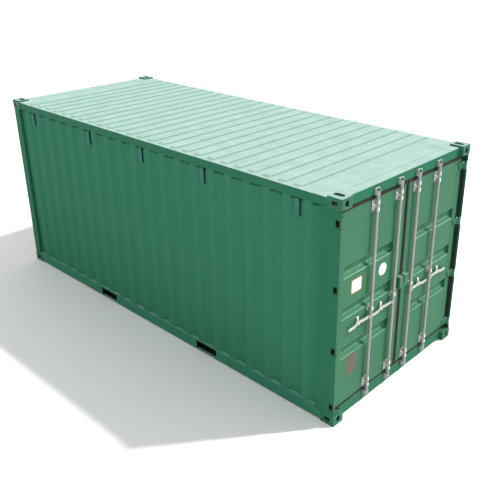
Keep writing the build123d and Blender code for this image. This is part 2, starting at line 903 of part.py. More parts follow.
def build():
    os.makedirs("parts", exist_ok=True)
    tops, bottoms = corner_fittings()
    save("corner_fittings_top", tops)
    save("corner_fittings_bottom", bottoms)
    save("door_posts", both_sides(door_post()))
    save("blind_posts", both_sides(blind_post()))
    save("door_header", [door_header()])
    save("door_sill", [door_sill()])
    save("blind_rails", blind_rails())
    save("top_rails", both_sides(top_rail()))
    save("bottom_rails", both_sides(bottom_rail()))
    wall = side_wall()
    save("side_wall_right", [wall])
    save("side_wall_left", [across(wall)])
    save("blind_wall", [blind_wall()])
    save("roof_panel", roof())
    save("roof_corner_plates", corner_plates())
    right_vents = vents()
    save("vents", right_vents + on_side(-1, right_vents))
    save("floor_boards", [floor_boards()])
    save("threshold", [threshold()])
    save("cross_members", cross_members())
    save("fork_pockets", [fork_pocket(place) for place in pocket_places()])
    save("keepers", keepers())
    seats = [hinge_seat(level) for level in hinge_levels]
    save("hinge_lugs", seats + on_side(-1, seats))
    frame = leaf_frame()
    panel = leaf_panel()
    seal = leaf_seal()
    blades = [hinge_blade(level) for level in hinge_levels]
    cover = lock_cover()
    for name, side in (("left", -1), ("right", 1)):
        save(name + "_leaf_frame", on_side(side, [frame]))
        save(name + "_leaf_panel", on_side(side, [panel]))
        save(name + "_leaf_seal", on_side(side, [seal]))
        save(name + "_hinge_blades", on_side(side, blades))
        save(name + "_lock_cover", on_side(side, [cover]))
        save(name + "_bar_brackets", bar_brackets(side))
        save(name + "_handle_retainers", [retainer(side * place, side) for place in bar_places])
        for label, place in (("inner", inner_bar_place), ("outer", outer_bar_place)):
            save(name + "_" + label + "_bar", [locking_bar(side * place, side)])
            save(name + "_" + label + "_handle", [handle(side * place, side)])


build()
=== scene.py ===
"""Looks of a twenty foot freight container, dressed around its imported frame.

Lengths are in metres. X runs along the box towards its doors, Y across it and Z up.
"""

import json
import logging
import math
from dataclasses import dataclass
from enum import Enum
from typing import Dict, Iterable, List, Optional, Sequence, Tuple, Union

import bmesh
import bpy
from mathutils import Matrix, Vector

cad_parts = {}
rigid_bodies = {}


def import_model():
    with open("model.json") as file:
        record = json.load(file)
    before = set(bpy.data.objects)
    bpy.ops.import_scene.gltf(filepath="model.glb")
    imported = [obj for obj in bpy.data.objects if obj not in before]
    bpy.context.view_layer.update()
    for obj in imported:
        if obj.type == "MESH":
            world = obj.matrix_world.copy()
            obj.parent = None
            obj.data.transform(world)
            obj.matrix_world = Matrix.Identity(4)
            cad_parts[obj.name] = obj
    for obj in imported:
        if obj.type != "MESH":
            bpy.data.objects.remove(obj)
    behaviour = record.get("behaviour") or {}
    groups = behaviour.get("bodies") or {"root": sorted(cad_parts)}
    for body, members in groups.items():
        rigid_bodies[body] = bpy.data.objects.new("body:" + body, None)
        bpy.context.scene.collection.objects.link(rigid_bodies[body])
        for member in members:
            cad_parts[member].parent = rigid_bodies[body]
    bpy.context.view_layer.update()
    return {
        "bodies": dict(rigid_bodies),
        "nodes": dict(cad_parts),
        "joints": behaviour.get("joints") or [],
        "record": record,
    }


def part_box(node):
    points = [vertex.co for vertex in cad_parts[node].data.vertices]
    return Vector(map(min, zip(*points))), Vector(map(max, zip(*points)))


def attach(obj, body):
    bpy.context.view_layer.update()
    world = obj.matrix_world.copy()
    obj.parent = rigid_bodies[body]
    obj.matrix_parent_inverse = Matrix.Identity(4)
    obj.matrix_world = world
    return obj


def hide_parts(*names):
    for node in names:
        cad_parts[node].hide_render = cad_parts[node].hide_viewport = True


Colour = Tuple[float, float, float]
Point = Tuple[float, float, float]
Pair = Tuple[float, float]
Socket = bpy.types.NodeSocket
Node = bpy.types.Node
Tree = bpy.types.NodeTree
Material = bpy.types.Material
Piece = bpy.types.Object
Feed = Union[float, int, bool, tuple, Socket]
Inputs = Dict[str, Tuple[str, object]]

LOG = logging.getLogger("container")
CONTAINER = "container"
OPAQUE = 1.0
SOFT_DETAIL = 2.0
CRISP_DETAIL = 4.0
SHEET = 0.002
BEAD_UNEVEN = 0.5
TOWARDS_DOORS = (1.0, 0.0, 0.0)
UPWARDS = (0.0, 0.0, 1.0)

FLOAT = "NodeSocketFloat"
WHOLE = "NodeSocketInt"
PLACE = "NodeSocketVector"
SHAPE = "NodeSocketGeometry"
LOOK = "NodeSocketMaterial"

MERGE_DISTANCE = 2e-5
FLAT_ANGLE = math.radians(0.6)
ROUNDED_ANGLE = math.radians(38)
SOLID_SHARP = 35.0
PLATE_SHARP = 30.0
SHEET_SHARP = 50.0


class Side(Enum):
    """The two door leaves, and the side of the box that each hangs on."""

    LEFT = -1
    RIGHT = 1

    @property
    def word(self) -> str:
        """Name of this side as the frame's nodes and bodies spell it."""
        return self.name.lower()

    @property
    def body(self) -> str:
        """Body of the leaf on this side."""
        return self.word + "_door"


class Head(Enum):
    """Kinds of fastener head."""

    BOLT = "bolt"
    RIVET = "rivet"
    SCREW = "screw"


# Node trees


class NodeSheet:
    """Adds nodes to one tree and links them."""

    def __init__(self, tree: Tree) -> None:
        """Take the shader or geometry node tree to work on."""
        self.tree = tree

    def feed(self, socket: Socket, value: Feed) -> None:
        """Link a socket to another one, or set its own value.

        Args:
            socket: The input that is fed.
            value: An output socket, or a plain value.
        """
        if isinstance(value, Socket):
            self.tree.links.new(value, socket)
        else:
            socket.default_value = value

    def add(self, kind: str, feeds: Optional[Dict[Union[str, int], Feed]] = None, **settings: object) -> Node:
        """Add a node.

        Args:
            kind: Blender's name for the node type.
            feeds: Values or sockets for its inputs, by name or place.
            **settings: Attributes of the node, such as its operation.

        Returns:
            The new node.
        """
        node = self.tree.nodes.new(kind)
        for name, value in settings.items():
            setattr(node, name, value)
        for key, value in (feeds or {}).items():
            self.feed(node.inputs[key], value)
        return node

    def math(self, operation: str, *values: Feed) -> Socket:
        """Add a Math node with its inputs in order, and return its result."""
        return self.add("ShaderNodeMath", dict(enumerate(values)), operation=operation).outputs[0]

    def times(self, first: Feed, *others: Feed) -> Socket:
        """Multiply values with each other."""
        for other in others:
            first = self.math("MULTIPLY", first, other)
        return first

    def plus(self, first: Feed, second: Feed) -> Socket:
        """Add two values."""
        return self.math("ADD", first, second)

    def minus(self, first: Feed, second: Feed) -> Socket:
        """Take the second value from the first."""
        return self.math("SUBTRACT", first, second)

    def vector(self, operation: str, *values: Feed) -> Node:
        """Add a Vector Math node with its inputs in order, and return the node."""
        return self.add("ShaderNodeVectorMath", dict(enumerate(values)), operation=operation)

    def ramp(self, value: Feed, low: Feed, high: Feed, to_low: Feed = 0.0, to_high: Feed = 1.0) -> Socket:
        """Map a value from one span to another and hold it at the ends.

        Args:
            value: The value to map.
            low: Start of the span it comes from.
            high: End of that span.
            to_low: Result at the start.
            to_high: Result at the end.

        Returns:
            The mapped value.
        """
        return self.add("ShaderNodeMapRange", {0: value, 1: low, 2: high, 3: to_low, 4: to_high}).outputs[0]

    def noise(self, vector: Feed, scale: Feed, detail: float = 3.0, roughness: float = 0.55) -> Socket:
        """Add a three dimensional noise and return its value."""
        feeds = {"Vector": vector, "Scale": scale, "Detail": detail, "Roughness": roughness}
        return self.add("ShaderNodeTexNoise", feeds).outputs[0]

    def split(self, vector: Feed) -> Sequence[Socket]:
        """Split a vector into its three parts."""
        return self.add("ShaderNodeSeparateXYZ", {0: vector}).outputs

    def join(self, x: Feed, y: Feed, z: Feed) -> Socket:
        """Make a vector of three parts."""
        return self.add("ShaderNodeCombineXYZ", {0: x, 1: y, 2: z}).outputs[0]

    def tint(self, share: Feed, first: Feed, second: Feed) -> Socket:
        """Mix two colours, where the share says how much of the second shows."""
        return self.add("ShaderNodeMix", {0: share, 6: first, 7: second}, data_type="RGBA").outputs[2]


class NodeGroup(NodeSheet):
    """A node group with named inputs and one named output."""

    def __init__(self, name: str, kind: str, inputs: Inputs, output: Tuple[str, str]) -> None:
        """Start the group.

        Args:
            name: Name of the group.
            kind: Blender's name for the tree type.
            inputs: Socket type and starting value of each input.
            output: Name and socket type of the output.
        """
        super().__init__(bpy.data.node_groups.new(name, kind))
        for title, (socket_kind, start) in inputs.items():
            item = self.tree.interface.new_socket(name=title, in_out="INPUT", socket_type=socket_kind)
            if start is not None:
                item.default_value = start
        self.tree.interface.new_socket(name=output[0], in_out="OUTPUT", socket_type=output[1])
        entry = self.add("NodeGroupInput")
        self.given = {title: entry.outputs[title] for title in inputs}
        self.leave = self.add("NodeGroupOutput")

    def __getitem__(self, title: str) -> Socket:
        """Give the group's input of that name."""
        return self.given[title]

    def done(self, result: Socket) -> Tree:
        """Feed the group's output and return its tree."""
        self.feed(self.leave.inputs[0], result)
        return self.tree


# Shared effects of the finishes


class EffectGroup(NodeGroup):
    """A shader group that works from coordinates and gives one value."""

    def __init__(self, name: str, output: str = "Mask", **starts: float) -> None:
        """Start the group.

        Args:
            name: Name of the group.
            output: Name of its output.
            **starts: Starting values of the inputs after the coordinates.
        """
        inputs = {"Vector": (PLACE, None), **{title: (FLOAT, start) for title, start in starts.items()}}
        super().__init__(name, "ShaderNodeTree", inputs, (output, FLOAT))
        self.place = self["Vector"]

    def normal(self) -> Socket:
        """Give the surface's true normal."""
        return self.add("ShaderNodeNewGeometry").outputs["Normal"]

    def bend(self) -> Tuple[Socket, Socket]:
        """Give a normal rounded over the Radius input, and how far the true one agrees with it."""
        rounded = self.add("ShaderNodeBevel", {"Radius": self["Radius"]}, samples=4).outputs[0]
        return rounded, self.vector("DOT_PRODUCT", rounded, self.normal()).outputs["Value"]

    def masked(self, *factors: Socket) -> Tree:
        """Close the group with the product of the factors and its Amount input."""
        return self.done(self.times(*factors, self["Amount"]))


class Effects:
    """Shader groups that more than one finish uses."""

    def __init__(self) -> None:
        """Build each group once."""
        self.mottle = self._mottle()
        self.streaks = self._streaks()
        self.settled = self._settled_dust()
        self.worn = self._worn_edges()
        self.lips = self._dusty_lips()
        self.grime = self._side_grime()
        self.overhang = self._overhang_dirt()
        self.rust = self._rust()
        self.skin = self._skin()

    @staticmethod
    def _mottle() -> Tree:
        """Broad soft patches where paint has faded unevenly."""
        group = EffectGroup("faded_patches", Scale=1.5, Amount=0.5)
        finer, broad_share, span = 9.0, 0.75, (0.35, 0.65)
        broad = group.noise(group.place, group["Scale"], CRISP_DETAIL)
        fine = group.noise(group.place, group.times(group["Scale"], finer), SOFT_DETAIL)
        mixed = group.plus(group.times(broad, broad_share), group.times(fine, 1.0 - broad_share))
        return group.masked(group.ramp(mixed, *span))

    @staticmethod
    def _streaks() -> Tree:
        """Dirt that rain has drawn down in thin lines."""
        group = EffectGroup("rain_streaks", Scale=14.0, Amount=0.5)
        drawn_out, thin, patch_scale, patchy = (1.0, 1.0, 0.05), (0.5, 0.74), 1.1, (0.35, 0.65)
        drawn = group.vector("MULTIPLY", group.place, drawn_out).outputs[0]
        lines = group.noise(drawn, group["Scale"])
        patches = group.noise(group.place, patch_scale, SOFT_DETAIL)
        return group.masked(group.ramp(lines, *thin), group.ramp(patches, *patchy))

    @staticmethod
    def _settled_dust() -> Tree:
        """Faces that look up, paled by fallen dirt, and on some finishes by painted light on lit tops."""
        group = EffectGroup("settled_dust", Scale=6.0, Amount=0.5, Uneven=1.0)
        upward, bare_span = (0.7, 0.97), (0.65, 0.3)
        level = group.ramp(group.split(group.normal())[2], *upward)
        bare = group.ramp(group.noise(group.place, group["Scale"], CRISP_DETAIL), *bare_span)
        broken = group.minus(1.0, group.times(bare, group["Uneven"]))
        return group.masked(level, broken)

    @staticmethod
    def _worn_edges() -> Tree:
        """Rubbed edges, found by how far a rounded normal leaves the true one."""
        group = EffectGroup("rubbed_edges", Radius=0.006, Amount=0.5)
        bent, chip_scale, chipped = (0.995, 0.86), 26.0, (0.42, 0.6)
        edge = group.ramp(group.bend()[1], *bent)
        return group.masked(edge, group.ramp(group.noise(group.place, chip_scale, CRISP_DETAIL), *chipped))

    @staticmethod
    def _side_grime() -> Tree:
        """Painted shade on undersides and on faces along X, or across it as far as the Across input says."""
        group = EffectGroup("side_grime", Amount=0.0, Across=0.0)
        sidewards, downwards, patch_scale, patchy = (0.4, 0.8), (-0.4, -0.8), 30.0, (0.3, 0.6, 0.75, 1.0)
        facing = group.split(group.normal())
        across = group["Across"]
        ends = group.times(group.math("ABSOLUTE", facing[0]), group.minus(1.0, across))
        flanks = group.times(group.math("ABSOLUTE", facing[1]), across)
        sideways = group.ramp(group.plus(ends, flanks), *sidewards)
        mask = group.math("MAXIMUM", sideways, group.ramp(facing[2], *downwards))
        return group.masked(mask, group.ramp(group.noise(group.place, patch_scale), *patchy))

    @staticmethod
    def _dusty_lips() -> Tree:
        """Bends that look up below a height: chalked paint, fallen dirt and a painted highlight where they
        would catch the light.
        """
        group = EffectGroup("dusty_lips", Radius=0.007, Amount=0.0, Top=9.0)
        bent, upwards, patch_scale, patchy = (0.998, 0.96), (0.08, 0.3), 5.0, (0.3, 0.6, 0.6, 1.0)
        rounded, agree = group.bend()
        upward = group.ramp(group.split(rounded)[2], *upwards)
        patches = group.ramp(group.noise(group.place, patch_scale, SOFT_DETAIL), *patchy)
        below = group.math("LESS_THAN", group.split(group.place)[2], group["Top"])
        return group.masked(group.ramp(agree, *bent), upward, patches, below)

    @staticmethod
    def _overhang_dirt() -> Tree:
        """Painted shade in the corrugations just below the overhanging top rail, up to the corner posts."""
        group = EffectGroup("overhang_dirt", Level=2.4, Face=1.2)
        reach, recess, post_place, strength = (0.046, 0.032), (0.006, 0.02), 2.89, 0.85
        wander_scale, wander = 9.0, 0.012
        x, y, z = group.split(group.place)
        uneven = group.times(group.noise(group.place, wander_scale, SOFT_DETAIL), wander)
        near = group.ramp(group.plus(group.minus(group["Level"], z), uneven), *reach)
        deep = group.ramp(group.minus(group["Face"], group.math("ABSOLUTE", y)), *recess)
        beside = group.math("LESS_THAN", group.math("ABSOLUTE", x), post_place)
        return group.done(group.times(near, deep, beside, strength))

    @staticmethod
    def _rust() -> Tree:
        """Rust blooms, thicker towards the ground below a given height."""
        group = EffectGroup("rust_blooms", Scale=9.0, Amount=0.2, Low=0.2)
        detail, coarseness, low_gain, clean, gain, soft = 7.0, 0.68, 0.12, 0.78, 0.5, 0.07
        blooms = group.noise(group.place, group["Scale"], detail, coarseness)
        low = group.ramp(group.split(group.place)[2], group["Low"], 0.0)
        reach = group.plus(group["Amount"], group.times(low, low_gain))
        edge = group.minus(clean, group.times(reach, gain))
        return group.done(group.ramp(blooms, edge, group.plus(edge, soft)))

    @staticmethod
    def _skin() -> Tree:
        """Fine unevenness of sprayed paint or cast and rolled metal."""
        group = EffectGroup("surface_skin", "Height", Scale=120.0, Amount=1.0)
        coarser, fine_share = 0.09, 0.35
        fine = group.noise(group.place, group["Scale"], SOFT_DETAIL)
        broad = group.noise(group.place, group.times(group["Scale"], coarser), SOFT_DETAIL)
        return group.masked(group.plus(group.times(fine, fine_share), broad))


# Finishes


class Coat(NodeSheet):
    """One material under way, with its shader, its Object coordinates and its colour so far."""

    def __init__(self, name: str, viewport: Colour) -> None:
        """Start a material of that name with its first colour, which also shows outside renders."""
        self.material = bpy.data.materials.new(name)
        self.material.use_nodes = True
        self.material.diffuse_color = (*viewport, OPAQUE)
        super().__init__(self.material.node_tree)
        self.inputs = self.tree.nodes["Principled BSDF"].inputs
        self.place = self.add("ShaderNodeTexCoord").outputs["Object"]
        self.colour: Feed = (*viewport, OPAQUE)

    def effect(self, group: Tree, **values: float) -> Socket:
        """Place a shared effect.

        Args:
            group: The effect's group.
            **values: The effect's own values.

        Returns:
            Its mask or height.
        """
        node = self.add("ShaderNodeGroup", node_tree=group)
        self.feed(node.inputs["Vector"], self.place)
        for title, value in values.items():
            self.feed(node.inputs[title.capitalize()], value)
        return node.outputs[0]

    def cover(self, mask: Socket, colour: Union[Colour, Socket]) -> None:
        """Lay another colour over the present one, as far as the mask shows it."""
        above = colour if isinstance(colour, Socket) else (*colour, OPAQUE)
        self.colour = self.tint(mask, self.colour, above)

    def close(self, rough: Socket, gloss: float, height: Socket, depth: float, strength: float) -> Material:
        """Feed the shader.

        Args:
            rough: Its roughness.
            gloss: Its specular level.
            height: Height of the surface's unevenness.
            depth: Distance that the height stands for.
            strength: Strength of the bump.

        Returns:
            The finished material.
        """
        self.feed(self.inputs["Base Color"], self.colour)
        self.feed(self.inputs["Roughness"], rough)
        self.inputs["Specular IOR Level"].default_value = gloss
        bump = self.add("ShaderNodeBump", {"Strength": strength, "Distance": depth, "Height": height})
        self.feed(self.inputs["Normal"], bump.outputs[0])
        return self.material


@dataclass(frozen=True)
class SteelFinish:
    """Painted, galvanised or bare steel that has stood outdoors."""

    name: str
    colour: Colour
    faded: Colour
    dirt: Colour = (0.05, 0.055, 0.045)
    # Pale colour on faces that look up: fallen dirt, and on the roof, bottom rails and top castings also
    # painted light of their lit tops.
    dust: Colour = (0.42, 0.43, 0.38)
    rust: Colour = (0.115, 0.045, 0.02)
    rust_light: Colour = (0.24, 0.1, 0.045)
    rubbed: Colour = (0.2, 0.3, 0.25)
    patch_scale: float = 1.3
    patches: float = 0.6
    streaks: float = 0.35
    streak_scale: float = 14.0
    settled: float = 0.3
    settled_scale: float = 6.0
    settled_uneven: float = 1.0
    rust_amount: float = 0.1
    rust_scale: float = 9.0
    rust_low: float = 0.2
    rust_tone_scale: float = 60.0
    rust_height: float = 0.6
    rubbed_amount: float = 0.5
    edge_radius: float = 0.006
    # Painted shade: a dark colour laid on undersides and sideways faces, and in the corrugations under the top
    # rail.
    grime: Colour = (0.01, 0.03, 0.02)
    grime_amount: float = 0.0
    grime_across: float = 0.0
    # Pale colour of upward bends: fallen dirt and a painted highlight.
    lip: Colour = (0.42, 0.68, 0.56)
    lip_amount: float = 0.0
    lip_radius: float = 0.011
    lip_top: float = 9.0
    # Level and face of the top rail, below which painted shade is laid in the corrugations.
    rail_level: float = 0.0
    rail_face: float = 0.0
    roughness: float = 0.48
    faded_rougher: float = 0.12
    rust_roughness: float = 0.9
    dust_roughness: float = 0.85
    metallic: float = 0.0
    gloss: float = 0.25
    skin_scale: float = 120.0
    skin_depth: float = 0.0012
    bump: float = 0.35

    def build(self, effects: Effects) -> Material:
        """Make the material from the shared effects."""
        coat = Coat(self.name, self.colour)
        patches = coat.effect(effects.mottle, scale=self.patch_scale, amount=self.patches)
        settled = coat.effect(effects.settled, scale=self.settled_scale, amount=self.settled,
                              uneven=self.settled_uneven)
        rust = coat.effect(effects.rust, scale=self.rust_scale, amount=self.rust_amount, low=self.rust_low)
        coat.cover(patches, self.faded)
        coat.cover(coat.effect(effects.streaks, scale=self.streak_scale, amount=self.streaks), self.dirt)
        coat.cover(coat.effect(effects.worn, radius=self.edge_radius, amount=self.rubbed_amount), self.rubbed)
        # Pale faces that look up: fallen dirt, and on some finishes painted light of lit tops.
        coat.cover(settled, self.dust)
        # Painted shade on undersides and sideways faces.
        if self.grime_amount > 0.0:
            grime = coat.effect(effects.grime, amount=self.grime_amount, across=self.grime_across)
            coat.cover(grime, self.grime)
        # Pale fallen dirt and painted highlight on upward bends.
        if self.lip_amount > 0.0:
            lips = coat.effect(effects.lips, radius=self.lip_radius, amount=self.lip_amount, top=self.lip_top)
            coat.cover(lips, self.lip)
        # Painted shade under the overhanging top rail.
        if self.rail_level > 0.0:
            coat.cover(coat.effect(effects.overhang, level=self.rail_level, face=self.rail_face), self.grime)
        tone = coat.noise(coat.place, self.rust_tone_scale)
        coat.cover(rust, coat.tint(tone, (*self.rust, OPAQUE), (*self.rust_light, OPAQUE)))
        coat.inputs["Metallic"].default_value = self.metallic
        rough = coat.ramp(patches, 0.0, 1.0, self.roughness, min(1.0, self.roughness + self.faded_rougher))
        rough = coat.math("MAXIMUM", rough, coat.times(rust, self.rust_roughness))
        rough = coat.math("MAXIMUM", rough, coat.times(settled, self.dust_roughness))
        skin = coat.effect(effects.skin, scale=self.skin_scale, amount=1.0)
        height = coat.plus(skin, coat.times(rust, self.rust_height))
        return coat.close(rough, self.gloss, height, self.skin_depth, self.bump)


@dataclass(frozen=True)
class RubberFinish:
    """Extruded door seal, weathered to a brown grey."""

    name: str = "seal_rubber_weathered"
    colour: Colour = (0.011, 0.012, 0.01)
    bloom: Colour = (0.042, 0.032, 0.026)
    dust: Colour = (0.1, 0.085, 0.075)
    patch_scale: float = 7.0
    patches: float = 0.8
    settled_scale: float = 9.0
    settled: float = 0.35
    roughness: Pair = (0.62, 0.85)
    gloss: float = 0.15
    skin_scale: float = 300.0
    skin_depth: float = 0.0006
    bump: float = 0.3

    def build(self, effects: Effects) -> Material:
        """Make the material from the shared effects."""
        coat = Coat(self.name, self.colour)
        patches = coat.effect(effects.mottle, scale=self.patch_scale, amount=self.patches)
        coat.cover(patches, self.bloom)
        coat.cover(coat.effect(effects.settled, scale=self.settled_scale, amount=self.settled), self.dust)
        skin = coat.effect(effects.skin, scale=self.skin_scale, amount=1.0)
        rough = coat.ramp(patches, 0.0, 1.0, *self.roughness)
        return coat.close(rough, self.gloss, skin, self.skin_depth, self.bump)


@dataclass(frozen=True)
class PlywoodFinish:
    """Scuffed deck boards with their grain along the box and a joint every board width."""

    name: str = "deck_plywood"
    colour: Colour = (0.2, 0.105, 0.05)
    dark: Colour = (0.09, 0.045, 0.022)
    scuffed: Colour = (0.15, 0.11, 0.08)
    joint: Colour = (0.02, 0.015, 0.01)
    board_width: float = 0.575
    boards_skipped: int = 20
    joint_width: float = 0.004
    grain_stretch: Point = (0.06, 1.0, 1.0)
    grain_scale: float = 70.0
    grain_detail: float = 6.0
    grain_coarseness: float = 0.65
    grain_span: Pair = (0.35, 0.68)
    patch_scale: float = 2.2
    patches: float = 0.8
    roughness: Tuple[float, ...] = (0.3, 0.7, 0.75, 0.55)
    gloss: float = 0.5
    skin_depth: float = 0.001
    bump: float = 0.4

    def build(self, effects: Effects) -> Material:
        """Make the material from the shared effects."""
        coat = Coat(self.name, self.colour)
        coat.colour = (*self.dark, OPAQUE)
        drawn = coat.vector("MULTIPLY", coat.place, self.grain_stretch).outputs[0]
        grain = coat.noise(drawn, self.grain_scale, self.grain_detail, self.grain_coarseness)
        coat.cover(coat.ramp(grain, *self.grain_span), self.colour)
        coat.cover(coat.effect(effects.mottle, scale=self.patch_scale, amount=self.patches), self.scuffed)
        across = coat.plus(coat.split(coat.place)[1], self.board_width * self.boards_skipped)
        joint = coat.math("LESS_THAN", coat.math("MODULO", across, self.board_width), self.joint_width)
        coat.cover(joint, self.joint)
        rough = coat.ramp(grain, *self.roughness)
        return coat.close(rough, self.gloss, coat.minus(grain, joint), self.skin_depth, self.bump)


@dataclass(frozen=True)
class PlainSignFinish:
    """Flat enamel of a plain plate or sticker, with a little dirt."""

    name: str
    colour: Colour
    dirt: Colour = (0.1, 0.095, 0.08)
    duller: float = 0.78
    patch_scale: float = 8.0
    patches: float = 0.35
    streak_scale: float = 40.0
    streaks: float = 0.3
    roughness: Pair = (0.4, 0.6)
    gloss: float = 0.2
    skin_scale: float = 200.0
    skin_depth: float = 0.0005
    bump: float = 0.2

    def build(self, effects: Effects) -> Material:
        """Make the material from the shared effects."""
        coat = Coat(self.name, self.colour)
        patches = coat.effect(effects.mottle, scale=self.patch_scale, amount=self.patches)
        coat.cover(patches, tuple(part * self.duller for part in self.colour))
        coat.cover(coat.effect(effects.streaks, scale=self.streak_scale, amount=self.streaks), self.dirt)
        skin = coat.effect(effects.skin, scale=self.skin_scale, amount=1.0)
        rough = coat.ramp(patches, 0.0, 1.0, *self.roughness)
        return coat.close(rough, self.gloss, skin, self.skin_depth, self.bump)


# Fittings take painted shade on their sides and undersides.
ZINC = dict(grime=(0.04, 0.045, 0.036), grime_amount=0.8, grime_across=1.0, patch_scale=11.0, rust_amount=0.14,
            rust_scale=24.0, rust_low=0.1, metallic=0.1, roughness=0.5, edge_radius=0.003, skin_depth=0.001)
CASTING = dict(patch_scale=7.0, rust_scale=14.0, gloss=0.1, skin_scale=70.0, skin_depth=0.003)
DOOR = dict(patch_scale=2.0, streaks=0.22)
DOOR_GREENS = (0.018, 0.127, 0.059), (0.026, 0.144, 0.073)
PANEL_RIM = 0.02


class Paintbox:
    """Every finish of the container, each built once."""

    def __init__(self) -> None:
        """Build the shared effects and all the materials."""
        effects = Effects()

        def steel(name: str, colour: Colour, faded: Colour, **settings: object) -> Material:
            """Build a steel finish with settings that differ from the usual ones."""
            return SteelFinish(name, colour, faded, **settings).build(effects)

        wall_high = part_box("side_wall_right")[1]
        # The side walls carry painted shade in the corrugations below the top rail.
        self.side = steel(
            "side_green", (0.033, 0.163, 0.097), (0.036, 0.173, 0.105), rail_level=wall_high.z,
            rail_face=wall_high.y, streaks=0.12, settled=0.1, rubbed_amount=0.0, patches=0.4, gloss=0.05,
            roughness=0.8)
        self.door = steel("door_green", *DOOR_GREENS, **DOOR, settled=0.35)
        # The door sheet's pale line on upward groove bends is partly a painted highlight.
        self.panel = steel("door_panel_green", *DOOR_GREENS, **DOOR, settled=0.2, rubbed_amount=0.0,
                           lip_amount=1.0, lip_top=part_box("left_leaf_panel")[1].z - PANEL_RIM)
        # The pale colour on the top flange also paints the light on this upward face.
        self.rail = steel(
            "bottom_rail_green", (0.024, 0.168, 0.098), (0.032, 0.182, 0.11), patch_scale=3.0, settled=0.85,
            settled_uneven=0.3, dust=(0.22, 0.44, 0.32), rust_amount=0.16, rust_low=0.08,
            rubbed=(0.1, 0.09, 0.07), gloss=0.12, roughness=0.65)
        self.frame = steel(
            "frame_green", (0.014, 0.127, 0.067), (0.022, 0.142, 0.08), patch_scale=3.0, rust_amount=0.14,
            rust_low=0.3, rubbed=(0.12, 0.11, 0.085), gloss=0.12, roughness=0.65)
        # The pale colour on the tops of the top castings also paints their light.
        self.casting = steel(
            "casting_green", (0.02, 0.12, 0.07), (0.035, 0.145, 0.09), **CASTING, rust_amount=0.3,
            rubbed=(0.22, 0.32, 0.27), rubbed_amount=0.55, edge_radius=0.01, settled=0.85,
            dust=(0.33, 0.46, 0.42), settled_uneven=0.3)
        self.foot = steel(
            "foot_casting_green", (0.016, 0.12, 0.066), (0.028, 0.14, 0.082), **CASTING, rust_amount=0.2,
            rust_low=0.13, rubbed=(0.26, 0.36, 0.3), rubbed_amount=0.6, edge_radius=0.008, settled=0.4,
            dust=(0.12, 0.2, 0.16))
        # Chalked roof paint, made paler and its upward faces covered in a pale colour, which together also
        # paint the bright sheen of the lit roof.
        self.roof = steel(
            "roof_chalky_green", (0.085, 0.215, 0.175), (0.105, 0.245, 0.2), dust=(0.325, 0.455, 0.424),
            patch_scale=2.6, settled=0.93, settled_uneven=0.25, streaks=0.0, rust_amount=0.1,
            rubbed=(0.3, 0.36, 0.33), rubbed_amount=0.1, roughness=0.55)
        # Black underframe paint, set darker than paint so that it also paints the deep shade inside the fork
        # pockets and below the box.
        self.under = steel(
            "underframe_dark", (0.004, 0.009, 0.007), (0.008, 0.014, 0.011), rust_amount=0.05, rust_scale=7.0,
            rust_low=0.03, roughness=0.9, gloss=0.02, settled=0.03, rubbed_amount=0.1, streaks=0.05)
        self.bars = steel(
            "bar_zinc", (0.29, 0.3, 0.29), (0.35, 0.36, 0.345), dirt=(0.1, 0.1, 0.08), patch_scale=9.0,
            rust_amount=0.12, rust_scale=20.0, rust_low=0.1, rubbed=(0.5, 0.5, 0.47), metallic=0.35,
            roughness=0.5, edge_radius=0.003, skin_depth=0.0008)
        # The three fittings finishes below carry the painted shade of ZINC on their sides and undersides.
        self.bright = steel(
            "casting_zinc", (0.6, 0.61, 0.59), (0.72, 0.73, 0.71), dirt=(0.16, 0.15, 0.12),
            rubbed=(0.85, 0.85, 0.83), **{**ZINC, "grime": (0.05, 0.055, 0.045), "rust_amount": 0.12})
        self.cast = steel(
            "bracket_zinc", (0.72, 0.74, 0.71), (0.84, 0.85, 0.82), dirt=(0.12, 0.115, 0.09),
            rubbed=(0.92, 0.92, 0.89), **{**ZINC, "metallic": 0.0, "roughness": 0.55})
        self.grip = steel(
            "handle_zinc", (0.4, 0.415, 0.395), (0.56, 0.57, 0.55), dirt=(0.1, 0.095, 0.075),
            rubbed=(0.75, 0.75, 0.72), **{**ZINC, "grime_amount": 0.85, "patch_scale": 16.0})
        self.keeper = steel(
            "keeper_green", (0.16, 0.26, 0.21), (0.45, 0.5, 0.46), patch_scale=14.0,
            rubbed=(0.78, 0.79, 0.76), rubbed_amount=1.0, edge_radius=0.008, rust_amount=0.2,
            rust_scale=24.0, rust_low=0.1)
        # The vent's dark colour below is painted shade on its sides and underside.
        self.vent = steel(
            "vent_teal", (0.03, 0.14, 0.108), (0.05, 0.18, 0.15), patch_scale=14.0,
            grime=(0.004, 0.035, 0.028), grime_amount=0.9, rust_amount=0.0, rubbed=(0.24, 0.4, 0.37),
            rubbed_amount=0.9, edge_radius=0.009, roughness=0.7, gloss=0.1)
        # Dark rubbed seal marks on the posts; on the plates' inner faces the marks also paint the shade between
        # leaf and post.
        self.scuff = steel(
            "seal_scuff", (0.018, 0.032, 0.026), (0.035, 0.055, 0.046), patch_scale=9.0, streaks=0.2,
            rust_amount=0.0, rubbed_amount=0.0, gloss=0.1)
        self.plate = steel(
            "bare_plate", (0.1, 0.085, 0.062), (0.15, 0.13, 0.1), patch_scale=9.0, rust_amount=0.2,
            rust_scale=22.0, metallic=0.3, rubbed=(0.3, 0.29, 0.26), edge_radius=0.002)
        self.rubber = RubberFinish().build(effects)
        self.plywood = PlywoodFinish().build(effects)
        self.white = PlainSignFinish("sign_white", (0.8, 0.8, 0.77)).build(effects)
        self.orange = PlainSignFinish("sign_orange", (0.8, 0.2, 0.03)).build(effects)


# Plain meshes


